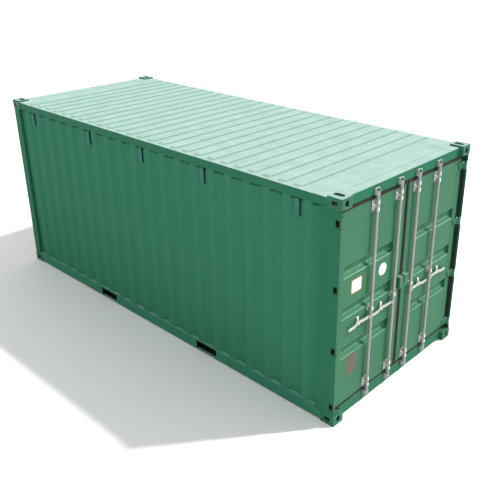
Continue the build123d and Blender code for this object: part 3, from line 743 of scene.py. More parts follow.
def link(piece: Piece) -> Piece:
    """Put a new object in the scene and return it."""
    bpy.context.scene.collection.objects.link(piece)
    return piece


def piece_of(name: str, work: bmesh.types.BMesh, material: Material) -> Piece:
    """Turn finished mesh work, which is freed, into an object of one finish."""
    mesh = bpy.data.meshes.new(name)
    work.to_mesh(mesh)
    work.free()
    mesh.materials.append(material)
    return link(bpy.data.objects.new(name, mesh))


def shade(piece: Piece, angle: float = SOLID_SHARP) -> None:
    """Shade a piece smoothly except at edges that turn by more than the angle in degrees."""
    piece.data.shade_smooth()
    piece.data.set_sharp_from_angle(angle=math.radians(angle))


def evaluated(piece: Piece) -> bpy.types.Mesh:
    """Give a piece's mesh as its modifiers make it, and remove them."""
    view = bpy.context.evaluated_depsgraph_get()
    mesh = bpy.data.meshes.new_from_object(piece.evaluated_get(view), depsgraph=view)
    piece.modifiers.clear()
    return mesh


def made_by(tree: Tree, name: str, values: Dict[str, object], guide: Optional[bpy.types.Mesh] = None) -> Piece:
    """Run a Geometry Nodes tree once and keep its result as a plain mesh.

    Args:
        tree: The tree.
        name: Name of the piece.
        values: The tree's inputs by name.
        guide: Mesh that the tree starts from, if it needs one.

    Returns:
        The plain piece.
    """
    host = link(bpy.data.objects.new(name + "_guide", guide or bpy.data.meshes.new(name + "_guide")))
    modifier = host.modifiers.new("shape", "NODES")
    modifier.node_group = tree
    for item in tree.interface.items_tree:
        if item.item_type == "SOCKET" and item.in_out == "INPUT" and item.name in values:
            modifier[item.identifier] = values[item.name]
    mesh = evaluated(host)
    bpy.data.objects.remove(host)
    mesh.name = name
    return link(bpy.data.objects.new(name, mesh))


def guide_of(points: Iterable[Point], edges: Iterable[Tuple[int, int]] = ()) -> bpy.types.Mesh:
    """Make a mesh of bare points and edges for a tree to start from."""
    mesh = bpy.data.meshes.new("guide")
    mesh.from_pydata([tuple(point) for point in points], [tuple(edge) for edge in edges], [])
    return mesh


def softened(solid: Piece, name: str, material: Material, bevel: float, segments: int) -> Piece:
    """Copy a CAD node with its triangles merged and its edges rounded.

    Args:
        solid: The node's object.
        name: Name of the piece.
        material: Its finish.
        bevel: Width of the rounding.
        segments: Faces across the rounding.

    Returns:
        The copy.
    """
    work = bmesh.new()
    work.from_mesh(solid.data)
    bmesh.ops.remove_doubles(work, verts=work.verts, dist=MERGE_DISTANCE)
    bmesh.ops.dissolve_limit(work, angle_limit=FLAT_ANGLE, verts=work.verts, edges=work.edges)
    piece = piece_of(name, work, material)
    modifier = piece.modifiers.new("rounding", "BEVEL")
    modifier.width = bevel
    modifier.segments = segments
    modifier.limit_method = "ANGLE"
    modifier.angle_limit = ROUNDED_ANGLE
    modifier.use_clamp_overlap = True
    piece.data = evaluated(piece)
    shade(piece)
    even = piece.modifiers.new("even_shading", "WEIGHTED_NORMAL")
    even.mode = "FACE_AREA"
    even.keep_sharp = True
    piece.data = evaluated(piece)
    piece.data.materials.clear()
    piece.data.materials.append(material)
    return piece


def between_lugs(low: float, high: float, gap: float) -> List[Pair]:
    """Split a span of heights at the hinge lugs.

    Args:
        low: Lowest height.
        high: Highest height.
        gap: Distance kept from each pair of lugs.

    Returns:
        Lowest and highest height of each part that is left.
    """
    pair_height, pair_places, shortest = 0.11, (0.0, 0.3296, 0.6658, 1.0), 0.02
    lugs_low, lugs_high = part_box("hinge_lugs")
    starts = [lugs_low.z + (lugs_high.z - lugs_low.z - pair_height) * share for share in pair_places]
    lows = [low] + [start + pair_height + gap for start in starts]
    highs = [start - gap for start in starts] + [high]
    return [(one, other) for one, other in zip(lows, highs) if other - one > shortest]


def box_faces(work: bmesh.types.BMesh, low: Point, high: Point) -> None:
    """Add a closed box between two corners to some mesh work."""
    middle = [(a + b) / 2 for a, b in zip(low, high)]
    size = [b - a for a, b in zip(low, high)]
    matrix = Matrix.Translation(middle) @ Matrix.Diagonal((*size, 1.0))
    bmesh.ops.create_cube(work, size=1.0, matrix=matrix)


# Geometry Nodes


class ShapeGroup(NodeGroup):
    """A Geometry Nodes group that gives one shape in one finish."""

    def __init__(self, name: str, inputs: Inputs) -> None:
        """Start the group with the given inputs and one for the finish."""
        super().__init__(name, "GeometryNodeTree", {**inputs, "Material": (LOOK, None)}, ("Geometry", SHAPE))

    def dress(self, shape: Socket) -> None:
        """Make the shape real, give it the finish and close the group."""
        real = self.add("GeometryNodeRealizeInstances", {"Geometry": shape})
        feeds = {"Geometry": real.outputs[0], "Material": self["Material"]}
        self.done(self.add("GeometryNodeSetMaterial", feeds).outputs[0])


class PressedSheet(ShapeGroup):
    """Group that presses rounded trapezoid ridges into a sheet, and dents it a little."""

    def __init__(self) -> None:
        """Build the group."""
        starts = {"Length": 5.0, "Height": 2.0, "Rim": 0.0, "Start": 0.0, "Pitch": 0.25, "Ridges": 20.0,
                  "Crest": 0.07, "Foot": 0.2, "Depth": 0.036, "Bend": 0.1, "End inset": -1.0,
                  "End slope": 0.018, "Dents": 0.004, "Seed": 1.0}
        inputs = {title: (FLOAT, start) for title, start in starts.items()}
        super().__init__("pressed_sheet", {**inputs, "Columns": (WHOLE, 200), "Rows": (WHOLE, 20)})
        grid = self.add("GeometryNodeMeshGrid", {"Size X": self["Length"], "Size Y": 2.0,
                                                 "Vertices X": self["Columns"], "Vertices Y": self["Rows"]})
        flat = self.split(self.add("GeometryNodeInputPosition").outputs[0])
        along = self.plus(flat[0], self.times(self["Length"], 0.5))
        up = self._rows(flat[1])
        rise = self.times(self._profile(along), self._ends(up), self["Depth"])
        place = self.join(along, self.minus(rise, self._dents(along, up)), up)
        moved = self.add("GeometryNodeSetPosition", {"Geometry": grid.outputs[0], "Position": place})
        self.dress(self.add("GeometryNodeFlipFaces", {"Mesh": moved.outputs[0]}).outputs[0])

    def _rows(self, level: Socket) -> Socket:
        """Spread the rows over the height, closer together within the rim at each edge.

        Args:
            level: Row place from -1 to 1.

        Returns:
            The row's height above the sheet's lower edge.
        """
        core_share = 0.7
        half = self.times(self["Height"], 0.5)
        away = self.math("ABSOLUTE", level)
        core = self.ramp(away, 0.0, core_share, 0.0, self.minus(half, self["Rim"]))
        edge = self.ramp(away, core_share, 1.0, 0.0, self["Rim"])
        return self.plus(half, self.times(self.plus(core, edge), self.math("SIGN", level)))

    def _profile(self, along: Socket) -> Socket:
        """Height of the rounded trapezoid at a place along the sheet, from 0 to 1."""
        run = self.math("DIVIDE", self.minus(along, self["Start"]), self["Pitch"])
        phase = self.math("ABSOLUTE", self.minus(self.math("FRACT", run), 0.5))
        foot = self.times(self["Foot"], 0.5)
        crest = self.times(self["Crest"], 0.5)
        slope = self.math("DIVIDE", self.minus(foot, self.times(phase, self["Pitch"])), self.minus(foot, crest))
        lower = self.math("SMOOTH_MAX", slope, 0.0, self["Bend"])
        upper = self.math("SMOOTH_MIN", lower, 1.0, self["Bend"])
        begun = self.math("GREATER_THAN", run, 0.0)
        return self.times(upper, begun, self.math("LESS_THAN", run, self["Ridges"]))

    def _edge(self, place: Socket, size: Socket) -> Socket:
        """Distance to the nearer end of the sheet's length or height."""
        return self.math("MINIMUM", place, self.minus(size, place))

    def _ends(self, up: Socket) -> Socket:
        """Slope the ridges down before the sheet's lower and upper edge, from 0 to 1."""
        start = self["End inset"]
        return self.ramp(self._edge(up, self["Height"]), start, self.plus(start, self["End slope"]))

    def _dents(self, along: Socket, up: Socket) -> Socket:
        """Depth of the soft dents, which fade before the welded edges."""
        scale, hollow, welded = 1.6, (0.48, 0.8), (0.02, 0.3)
        soft = self.ramp(self.noise(self.join(along, self["Seed"], up), scale, SOFT_DETAIL), *hollow)
        edge = self.math("MINIMUM", self._edge(along, self["Length"]), self._edge(up, self["Height"]))
        return self.times(soft, self.ramp(edge, *welded), self["Dents"])


class FastenerHeads(ShapeGroup):
    """Group that sets a fastener head on every guide point, turned to face one way."""

    def __init__(self, head: Head) -> None:
        """Build the group for one kind of head."""
        super().__init__(head.value + "_heads", {
            "Geometry": (SHAPE, None), "Radius": (FLOAT, 0.008), "Height": (FLOAT, 0.006),
            "Washer": (FLOAT, 0.012), "Facing": (PLACE, TOWARDS_DOORS), "Seed": (WHOLE, 1)})
        rivet_rings, screw_rings = 6, 4
        shape = self._bolt() if head is Head.BOLT else self._dome(
            rivet_rings if head is Head.RIVET else screw_rings)
        points = self.add("GeometryNodeMeshToPoints", {"Mesh": self["Geometry"]})
        aligned = self.add("FunctionNodeAlignRotationToVector", {"Vector": self["Facing"]}, axis="Z")
        spin = self.add("FunctionNodeRandomValue", {2: 0.0, 3: math.tau, "Seed": self["Seed"]},
                        data_type="FLOAT")
        turn = self.add("FunctionNodeAxisAngleToRotation", {"Axis": UPWARDS, "Angle": spin.outputs[1]})
        turned = self.add("FunctionNodeRotateRotation", {
            "Rotation": aligned.outputs[0], "Rotate By": turn.outputs[0]}, rotation_space="LOCAL")
        copies = self.add("GeometryNodeInstanceOnPoints", {
            "Points": points.outputs[0], "Instance": shape, "Rotation": turned.outputs[0]})
        self.dress(copies.outputs[0])

    def _bolt(self) -> Socket:
        """Build a six sided head on its washer, with the bolt's end above it."""
        joined = self.add("GeometryNodeJoinGeometry")
        radius, height = self["Radius"], self["Height"]
        end_radius, end_height, washer_height = 0.55, 1.6, 0.35
        head_sides, end_sides, washer_sides = 6, 10, 16
        parts = ((head_sides, radius, height),
                 (end_sides, self.times(radius, end_radius), self.times(height, end_height)),
                 (washer_sides, self["Washer"], self.times(height, washer_height)))
        for sides, width, depth in parts:
            part = self.add("GeometryNodeMeshCylinder", {"Vertices": sides, "Radius": width, "Depth": depth})
            self.feed(joined.inputs[0], part.outputs[0])
        lift = self.join(0.0, 0.0, self.times(height, 0.5))
        lifted = self.add("GeometryNodeTransform", {"Geometry": joined.outputs[0], "Translation": lift})
        return lifted.outputs[0]

    def _dome(self, rings: int) -> Socket:
        """Build a flattened dome of a number of rings."""
        radius, segments = self["Radius"], 12
        dome = self.add("GeometryNodeMeshUVSphere", {"Segments": segments, "Rings": rings, "Radius": radius})
        scale = self.join(1.0, 1.0, self.math("DIVIDE", self["Height"], radius))
        return self.add("GeometryNodeTransform", {"Geometry": dome.outputs[0], "Scale": scale}).outputs[0]


class Bead(ShapeGroup):
    """Group that runs an uneven round bead along guide edges."""

    def __init__(self) -> None:
        """Build the group."""
        super().__init__("bead", {
            "Geometry": (SHAPE, None), "Radius": (FLOAT, 0.003), "Step": (FLOAT, 0.03),
            "Uneven": (FLOAT, 0.3), "Sides": (WHOLE, 6)})
        radius = self["Radius"]
        line = self.add("GeometryNodeMeshToCurve", {"Mesh": self["Geometry"]})
        even = self.add("GeometryNodeResampleCurve", {"Curve": line.outputs[0]})
        even.mode = "LENGTH"
        self.feed(even.inputs["Length"], self["Step"])
        wander_scale = 40.0
        wander = self.noise(self.add("GeometryNodeInputPosition").outputs[0], wander_scale, SOFT_DETAIL)
        away = self.times(self.minus(wander, 0.5), self["Uneven"], radius)
        moved = self.add("GeometryNodeSetPosition", {
            "Geometry": even.outputs[0], "Offset": self.join(away, away, away)})
        ring = self.add("GeometryNodeCurvePrimitiveCircle", {"Resolution": self["Sides"], "Radius": radius})
        tube = self.add("GeometryNodeCurveToMesh", {
            "Curve": moved.outputs[0], "Profile Curve": ring.outputs[0], "Fill Caps": True})
        self.dress(tube.outputs[0])


class Workshop:
    """Finishes and trees that every sub-assembly draws on, and the ways to put pieces on the frame."""

    def __init__(self, frame: dict) -> None:
        """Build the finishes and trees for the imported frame."""
        self.nodes = frame["nodes"]
        self.paint = Paintbox()
        self.pressed = PressedSheet()
        self.fasteners = {head: FastenerHeads(head) for head in Head}
        self.beads = Bead()

    def heads(self, head: Head, name: str, body: str, points: Sequence[Point], facing: Point, radius: float,
              height: float, material: Material, washer: float = 0.0) -> None:
        """Set fastener heads on a body.

        Args:
            head: The kind of head.
            name: Name of the piece.
            body: The body that carries them.
            points: Where each head stands.
            facing: The way they face.
            radius: Radius of a head.
            height: Height of a head.
            material: Their finish.
            washer: Radius of the washer below a bolt head.
        """
        values = {"Radius": radius, "Height": height, "Washer": washer, "Facing": facing, "Material": material}
        piece = made_by(self.fasteners[head].tree, name, values, guide_of(points))
        shade(piece, PLATE_SHARP)
        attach(piece, body)
        LOG.info("%s: %d heads", name, len(points))

    def bead(self, name: str, body: str, lines: Sequence[Sequence[Point]], radius: float, material: Material,
             closed: bool = False, step: float = 0.04) -> None:
        """Run a bead along lines on a body.

        Args:
            name: Name of the piece.
            body: The body that carries it.
            lines: Corner points of each line.
            radius: Radius of the bead.
            material: Its finish.
            closed: Whether each line returns to its start.
            step: Distance between its rings.
        """
        points: List[Point] = []
        edges: List[Tuple[int, int]] = []
        for line in lines:
            first = len(points)
            points.extend(line)
            edges.extend((index, index + 1) for index in range(first, len(points) - 1))
            if closed:
                edges.append((len(points) - 1, first))
        values = {"Radius": radius, "Step": step, "Uneven": BEAD_UNEVEN, "Material": material}
        piece = made_by(self.beads.tree, name, values, guide_of(points, edges))
        shade(piece, SHEET_SHARP)
        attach(piece, body)
        LOG.info("%s: %d lines", name, len(lines))

    def soften(self, node: str, body: str, material: Material, bevel: float, segments: int = 2) -> None:
        """Put a softened copy in the place of a CAD node.

        Args:
            node: The node.
            body: The body that carries it.
            material: The finish.
            bevel: Width of the rounded edges.
            segments: Faces across them.
        """
        piece = softened(self.nodes[node], node + "_dressed", material, bevel, segments)
        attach(piece, body)
        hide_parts(node)
        LOG.info("%s dressed", node)

    def press(self, node: str, name: str, body: str, material: Material, values: Dict[str, float],
              place: Matrix, angle: float = SHEET_SHARP) -> None:
        """Press a sheet in the place of a CAD node.

        Args:
            node: The node.
            name: Name of the piece.
            body: The body that carries it.
            material: The finish.
            values: Inputs of the pressed sheet's group.
            place: Its place.
            angle: Turn in degrees above which an edge stays sharp.
        """
        piece = made_by(self.pressed.tree, name, {**values, "Material": material})
        piece.data.transform(place)
        thick = piece.modifiers.new("thickness", "SOLIDIFY")
        thick.thickness = SHEET
        thick.offset = -1.0
        piece.data = evaluated(piece)
        shade(piece, angle)
        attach(piece, body)
        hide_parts(node)
        LOG.info("%s pressed: %d faces", node, len(piece.data.polygons))

    @staticmethod
    def lay(name: str, body: str, material: Material, boxes: Iterable[Tuple[Point, Point]],
            rounding: float = 0.0) -> None:
        """Lay flat boxes on a body as one piece.

        Args:
            name: Name of the piece.
            body: The body that carries it.
            material: The finish.
            boxes: Lowest and highest corner of each box.
            rounding: Radius of the edges along X, if they are rounded.
        """
        work = bmesh.new()
        for low, high in boxes:
            box_faces(work, low, high)
        if rounding > 0.0:
            along = [edge for edge in work.edges
                     if abs(edge.verts[0].co.x - edge.verts[1].co.x) > MERGE_DISTANCE]
            bmesh.ops.bevel(work, geom=along, offset=rounding, segments=3, affect="EDGES")
        piece = piece_of(name, work, material)
        if rounding > 0.0:
            shade(piece, PLATE_SHARP)
        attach(piece, body)
        LOG.info("%s laid", name)


@dataclass
class SubAssembly:
    """Part of the container that is dressed from the workshop."""

    shop: Workshop

    @property
    def paint(self) -> Paintbox:
        """The workshop's finishes."""
        return self.shop.paint

    def build(self) -> None:
        """Dress this part."""
        raise NotImplementedError


# Sub-assemblies of the box


@dataclass(frozen=True)
class Corrugation:
    """Sizes of one kind of wall's corrugations and the flat before its first ridge."""

    pitch: float
    crest: float
    valley: float
    ridges: int
    margin: float


@dataclass
class CorrugatedWalls(SubAssembly):
    """Pressed side walls and blind end wall."""

    right_shape: Corrugation = Corrugation(pitch=0.278, crest=0.072, valley=0.070, ridges=20, margin=0.069)
    left_shape: Corrugation = Corrugation(pitch=0.278, crest=0.072, valley=0.070, ridges=20, margin=0.037)
    end_shape: Corrugation = Corrugation(pitch=0.25, crest=0.11, valley=0.06, ridges=8, margin=0.109)
    columns_per_pitch: int = 28
    rows: int = 24
    bend: float = 0.3
    dents: float = 0.006
    side_seed: float = 3.0
    end_seed: float = 11.0
    weld_radius: float = 0.003
    weld_depth: float = 0.037
    weld_inset: float = 0.01
    weld_lift: float = 0.001

    def _press(self, node: str, shape: Corrugation, size: Point, seed: float, place: Matrix) -> None:
        """Press one wall.

        Args:
            node: The CAD node it stands for.
            shape: Its corrugations.
            size: Its length, height and depth.
            seed: Seed of its dents.
            place: Its place.
        """
        length, height, depth = size
        self.shop.press(node, node + "_pressed", CONTAINER, self.paint.side, {
            "Length": length, "Height": height, "Depth": depth - SHEET, "Rows": self.rows,
            "Columns": int(length / shape.pitch * self.columns_per_pitch), "Start": shape.margin,
            "Pitch": shape.pitch, "Ridges": float(shape.ridges), "Crest": shape.crest,
            "Foot": shape.pitch - shape.valley, "Bend": self.bend, "Dents": self.dents, "Seed": seed}, place)

    def build(self) -> None:
        """Press the three walls and weld the side walls to the rails."""
        for side in Side:
            node = "side_wall_" + side.word
            low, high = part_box(node)
            if side is Side.RIGHT:
                shape, place = self.right_shape, Matrix.Translation((low.x, low.y + SHEET, low.z))
            else:
                turn = Matrix.Rotation(math.pi, 4, "Z")
                shape, place = self.left_shape, Matrix.Translation((high.x, high.y - SHEET, low.z)) @ turn
            size = (high.x - low.x, high.z - low.z, high.y - low.y)
            self._press(node, shape, size, self.side_seed * side.value, place)
        low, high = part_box("blind_wall")
        place = Matrix.Translation((high.x - SHEET, low.y, low.z)) @ Matrix.Rotation(math.pi / 2, 4, "Z")
        size = (high.y - low.y, high.z - low.z, high.x - low.x)
        self._press("blind_wall", self.end_shape, size, self.end_seed, place)
        self._welds()

    def _welds(self) -> None:
        """Lay the weld beads where the side walls meet the rails."""
        lines = []
        for side in Side:
            low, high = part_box("side_wall_" + side.word)
            y = side.value * (max(abs(low.y), abs(high.y)) - self.weld_depth)
            for level in (low.z + self.weld_lift, high.z - self.weld_lift):
                lines.append([(low.x + self.weld_inset, y, level), (high.x - self.weld_inset, y, level)])
        self.shop.bead("wall_welds", CONTAINER, lines, self.weld_radius, self.paint.side)


@dataclass
class Roof(SubAssembly):
    """Roof sheet with its raised ribs, end strips and corner doublers."""

    first_margin: float = 0.277
    pitch: float = 0.209
    ribs: int = 25
    foot: float = 0.118
    crest: float = 0.091
    rise: float = 0.018
    bend: float = 0.22
    rib_inset: float = 0.039
    end_slope: float = 0.018
    column_step: float = 0.0072
    rows: int = 48
    rim: float = 0.11
    sag: float = 0.003
    seed: float = 7.0
    plate_bevel: float = 0.0008
    weld_radius: float = 0.003

    def build(self) -> None:
        """Press the roof and lay its strips and doublers."""
        low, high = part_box("roof_panel")
        rails_low, rails_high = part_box("top_rails")
        length = rails_high.x - rails_low.x
        base = high.z - self.rise
        values = {"Length": length, "Height": high.y - low.y, "Columns": int(length / self.column_step),
                  "Rows": self.rows, "Rim": self.rim, "Start": self.first_margin - self.pitch / 2,
                  "Pitch": self.pitch, "Ridges": float(self.ribs), "Crest": self.crest, "Foot": self.foot,
                  "Depth": self.rise, "Bend": self.bend, "End inset": self.rib_inset,
                  "End slope": self.end_slope, "Dents": self.sag, "Seed": self.seed}
        place = Matrix.Translation((rails_low.x, high.y, base)) @ Matrix.Rotation(math.pi / 2, 4, "X")
        self.shop.press("roof_panel", "roof_pressed", CONTAINER, self.paint.roof, values, place)
        header_low, header_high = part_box("door_header")
        ends = (low.x, rails_low.x), (rails_high.x, high.x)
        self.shop.lay("roof_end_strips", CONTAINER, self.paint.roof, [
            ((start, header_low.y, base - SHEET), (end, header_high.y, base)) for start, end in ends])
        lines = [[(x, header_low.y, base), (x, header_high.y, base)] for x in (rails_high.x, rails_low.x)]
        self.shop.bead("roof_welds", CONTAINER, lines, self.weld_radius, self.paint.roof)
        self.shop.soften("roof_corner_plates", CONTAINER, self.paint.roof, self.plate_bevel, 1)


@dataclass
class SteelFrame(SubAssembly):
    """Castings, posts and rails of the box."""

    casting_bevel: float = 0.004
    post_bevel: float = 0.003
    rail_bevel: float = 0.0025
    lug_bevel: float = 0.002
    keeper_bevel: float = 0.0015
    mark_gap: float = 0.003
    mark_inset: float = 0.008
    mark_thickness: float = 0.001
    plate_mark_start: float = 0.01
    plate_mark_inset: float = 0.022
    weld_radius: float = 0.0035
    weld_step: float = 0.02
    weld_return: float = 0.006

    def build(self) -> None:
        """Dress the frame's steel."""
        frame = self.paint.frame
        for nodes, material, bevel in (
                (("corner_fittings_top",), self.paint.casting, self.casting_bevel),
                (("corner_fittings_bottom",), self.paint.foot, self.casting_bevel),
                (("door_posts", "blind_posts"), frame, self.post_bevel),
                (("door_header", "door_sill", "blind_rails", "top_rails"), frame, self.rail_bevel),
                (("bottom_rails",), self.paint.rail, self.rail_bevel),
                (("hinge_lugs",), frame, self.lug_bevel),
                (("keepers",), self.paint.keeper, self.keeper_bevel)):
            for node in nodes:
                self.shop.soften(node, CONTAINER, material, bevel)
        self._welds()
        self._seal_marks()

    def _seal_marks(self) -> None:
        """Lay the dark rubbed strips of the post faces that the door seals press on; the strips on the plates'
        inner faces also paint the shade between leaf and post.
        """
        lugs_low, lugs_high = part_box("hinge_lugs")
        posts_low, posts_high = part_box("door_posts")
        gap, thin = self.mark_gap, self.mark_thickness
        inner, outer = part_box("threshold")[1].y + gap, posts_high.y - self.mark_inset
        boxes = []
        for side in Side:
            face = sorted((side.value * inner, side.value * outer))
            plate = sorted((side.value * lugs_high.y, side.value * (lugs_high.y - thin)))
            for low, high in between_lugs(posts_low.z + gap, posts_high.z - gap, gap):
                boxes.append(((lugs_low.x + self.plate_mark_start, plate[0], low),
                              (posts_high.x - self.plate_mark_inset, plate[1], high)))
                boxes.append(((lugs_low.x, face[0], low), (lugs_low.x + thin, face[1], high)))
        self.shop.lay("post_seal_marks", CONTAINER, self.paint.scuff, boxes)

    def _welds(self) -> None:
        """Lay the weld beads around the posts where they meet the castings."""
        lines = []
        for post, outward in (("door_posts", 1), ("blind_posts", -1)):
            low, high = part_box(post)
            back, front = (low.x, high.x)[::outward]
            for side in Side:
                y, inner = side.value * high.y, side.value * (high.y - self.weld_return)
                for level in (low.z, high.z):
                    lines.append([(back, y, level), (front, y, level), (front, inner, level)])
        self.shop.bead("post_welds", CONTAINER, lines, self.weld_radius, self.paint.frame, step=self.weld_step)


@dataclass
class Underframe(SubAssembly):
    """Cross members, fork pockets and deck."""

    steel_bevel: float = 0.0015
    deck_bevel: float = 0.001
    screw_radius: float = 0.006
    screw_height: float = 0.0012
    screw_rows: int = 16
    screws_across: int = 9
    end_inset: float = 0.15
    screws_reach: float = 1.02

    def build(self) -> None:
        """Dress what lies below and on the deck."""
        for node in ("cross_members", "fork_pockets"):
            self.shop.soften(node, CONTAINER, self.paint.under, self.steel_bevel, 1)
        self.shop.soften("floor_boards", CONTAINER, self.paint.plywood, self.deck_bevel, 1)
        self.shop.soften("threshold", CONTAINER, self.paint.frame, self.deck_bevel, 1)
        low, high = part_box("floor_boards")
        length = high.x - low.x - 2 * self.end_inset
        points = [(low.x + self.end_inset + length * row / (self.screw_rows - 1),
                   self.screws_reach * (2 * step / (self.screws_across - 1) - 1), high.z)
                  for row in range(self.screw_rows) for step in range(self.screws_across)]
        self.shop.heads(Head.SCREW, "deck_screws", CONTAINER, points, UPWARDS, self.screw_radius,
                        self.screw_height, self.paint.bars)


@dataclass
class Vents(SubAssembly):
    """Hooded vent boxes in the upper wall valleys."""

    centres: Tuple[float, ...] = (-2.542, -1.152, -0.04, 1.072, 2.462)
    bevel: float = 0.0012
    hood_proud: float = 0.004
    rivet_inset: float = 0.014
    rivet_across: float = 0.021
    rivet_radius: float = 0.004
    rivet_height: float = 0.0025

    def build(self) -> None:
        """Dress the vents and rivet them on."""
        self.shop.soften("vents", CONTAINER, self.paint.vent, self.bevel)
        low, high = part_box("vents")
        for side in Side:
            outwards = (0.0, float(side.value), 0.0)
            points = [(centre + across, side.value * (high.y - self.hood_proud), low.z + self.rivet_inset)
                      for centre in self.centres for across in (-self.rivet_across, self.rivet_across)]
            self.shop.heads(Head.RIVET, "vent_rivets_" + side.word, CONTAINER, points, outwards,
                            self.rivet_radius, self.rivet_height, self.paint.vent)


# Doors


@dataclass
class DoorLeaf(SubAssembly):
    """One door leaf with its fittings."""

    side: Side
    frame_bevel: float = 0.003
    gear_bevel: float = 0.0018
    bracket_bevel: float = 0.0012
    flap_thickness: float = 0.002
    flap_inset: float = 0.002
    flap_cover: float = 0.010
    fin_depth: float = 0.022
    fin_thickness: float = 0.004
    fin_reach: float = 0.025
    fin_gap: float = 0.006
    bar_places: Pair = (0.172, 0.594)
    bolt_radius: float = 0.008
    bolt_height: float = 0.006
    washer_radius: float = 0.0105
    flange_thickness: float = 0.006
    flange_bolt_place: float = 0.044
    flange_levels: Pair = (0.245, 2.345)
    flange_steps: Tuple[float, ...] = (-0.042, 0.0, 0.042)
    guide_bolt_place: float = 0.033
    guide_level: float = 1.178
    grooves: int = 3
    groove_bottom: float = 0.419
    groove_top: float = 0.441
    groove_mouth: float = 0.14
    groove_floor: float = 0.062
    groove_bend: float = 0.05
    panel_columns: int = 420
    panel_rows: int = 10
    panel_rim: float = PANEL_RIM
    panel_dents: float = -0.003
    panel_seed: float = 5.0
    panel_sharp: float = 20.0
    weld_radius: float = 0.0025

    def build(self) -> None:
        """Dress the leaf."""
        paint, stem, body = self.paint, self.side.word, self.side.body
        self.shop.soften(stem + "_leaf_frame", body, paint.door, self.frame_bevel)
        self._panel(stem + "_leaf_panel", body)
        for name, material, bevel in (("_leaf_seal", paint.rubber, self.frame_bevel),
                                      ("_hinge_blades", paint.door, self.gear_bevel),
                                      ("_bar_brackets", paint.cast, self.bracket_bevel),
                                      ("_handle_retainers", paint.bright, self.gear_bevel),
                                      ("_lock_cover", paint.door, self.gear_bevel)):
            self.shop.soften(stem + name, body, material, bevel)
        self._seal_flaps(stem, body)
        self._bolts(stem, body)
        low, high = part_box(stem + "_leaf_panel")
        ring = [(high.x, y, z) for y, z in ((low.y, low.z), (high.y, low.z), (high.y, high.z), (low.y, high.z))]
        self.shop.bead(stem + "_panel_weld", body, [ring], self.weld_radius, paint.door, closed=True)

    def _panel(self, node: str, body: str) -> None:
        """Press the grooved door sheet in the place of a node of the leaf's body."""
        low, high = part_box(node)
        height = high.z - low.z
        pitch = (height - self.groove_bottom - self.groove_top - self.groove_mouth) / (self.grooves - 1)
        start = self.groove_bottom + self.groove_mouth / 2 - pitch / 2
        values = {"Length": height, "Height": high.y - low.y, "Columns": self.panel_columns,
                  "Rows": self.panel_rows, "Rim": self.panel_rim, "Start": start, "Pitch": pitch,
                  "Ridges": float(self.grooves), "Crest": self.groove_floor, "Foot": self.groove_mouth,
                  "Depth": high.x - low.x - SHEET, "Bend": self.groove_bend, "Dents": self.panel_dents,
                  "Seed": self.panel_seed + self.side.value}
        upright = Matrix(((0, -1, 0, high.x), (0, 0, 1, low.y), (1, 0, 0, low.z), (0, 0, 0, 1)))
        self.shop.press(node, node + "_pressed", body, self.paint.panel, values, upright, self.panel_sharp)

    def _seal_flaps(self, stem: str, body: str) -> None:
        """Lay the seal's outer lip over the leaf's edges, and its fin beside the hinges.

        Args:
            stem: Word for the leaf's side.
            body: The leaf's body.
        """
        seal_low, seal_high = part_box(stem + "_leaf_seal")
        leaf_low, leaf_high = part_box(stem + "_leaf_frame")
        inset, cover = self.flap_inset, self.flap_cover
        left, right = seal_low.y + inset, seal_high.y - inset
        foot, head = seal_low.z + inset, seal_high.z - inset
        inner_left, inner_right = leaf_low.y + cover, leaf_high.y - cover
        inner_foot, inner_head = leaf_low.z + cover, leaf_high.z - cover
        back, front = leaf_high.x, leaf_high.x + self.flap_thickness
        boxes = [((back, y_low, z_low), (front, y_high, z_high)) for y_low, y_high, z_low, z_high in (
            (left, right, foot, inner_foot), (left, right, inner_head, head),
            (left, inner_left, inner_foot, inner_head), (inner_right, right, inner_foot, inner_head))]
        edge = seal_low.y if self.side is Side.LEFT else seal_high.y
        reach = sorted((edge, edge + self.side.value * self.fin_reach))
        fin = seal_high.x - self.fin_depth
        boxes += [((fin, reach[0], low), (fin + self.fin_thickness, reach[1], high))
                  for low, high in between_lugs(foot, head, self.fin_gap)]
        self.shop.lay(stem + "_seal_flaps", body, self.paint.rubber, boxes)

    def _bolts(self, stem: str, body: str) -> None:
        """Bolt the bar brackets of the leaf's body down on their flanges."""
        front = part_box(stem + "_leaf_frame")[1].x + self.flange_thickness
        places = [self.side.value * place for place in self.bar_places]
        points = [(front, y - self.flange_bolt_place, middle + step)
                  for y in places for middle in self.flange_levels for step in self.flange_steps]
        points += [(front, y - self.guide_bolt_place, self.guide_level) for y in places]
        self.shop.heads(Head.BOLT, stem + "_bracket_bolts", body, points, TOWARDS_DOORS, self.bolt_radius,
                        self.bolt_height, self.paint.bars, washer=self.washer_radius)


@dataclass
class LockingGear(SubAssembly):
    """Bars and handles of one leaf."""

    side: Side
    bar_bevel: float = 0.0015
    handle_bevel: float = 0.002

    def build(self) -> None:
        """Dress the bars and handles, each on a body of its own name."""
        for label in ("_inner", "_outer"):
            bar, handle = (self.side.word + label + kind for kind in ("_bar", "_handle"))
            self.shop.soften(bar, bar, self.paint.bars, self.bar_bevel)
            self.shop.soften(handle, handle, self.paint.grip, self.handle_bevel)


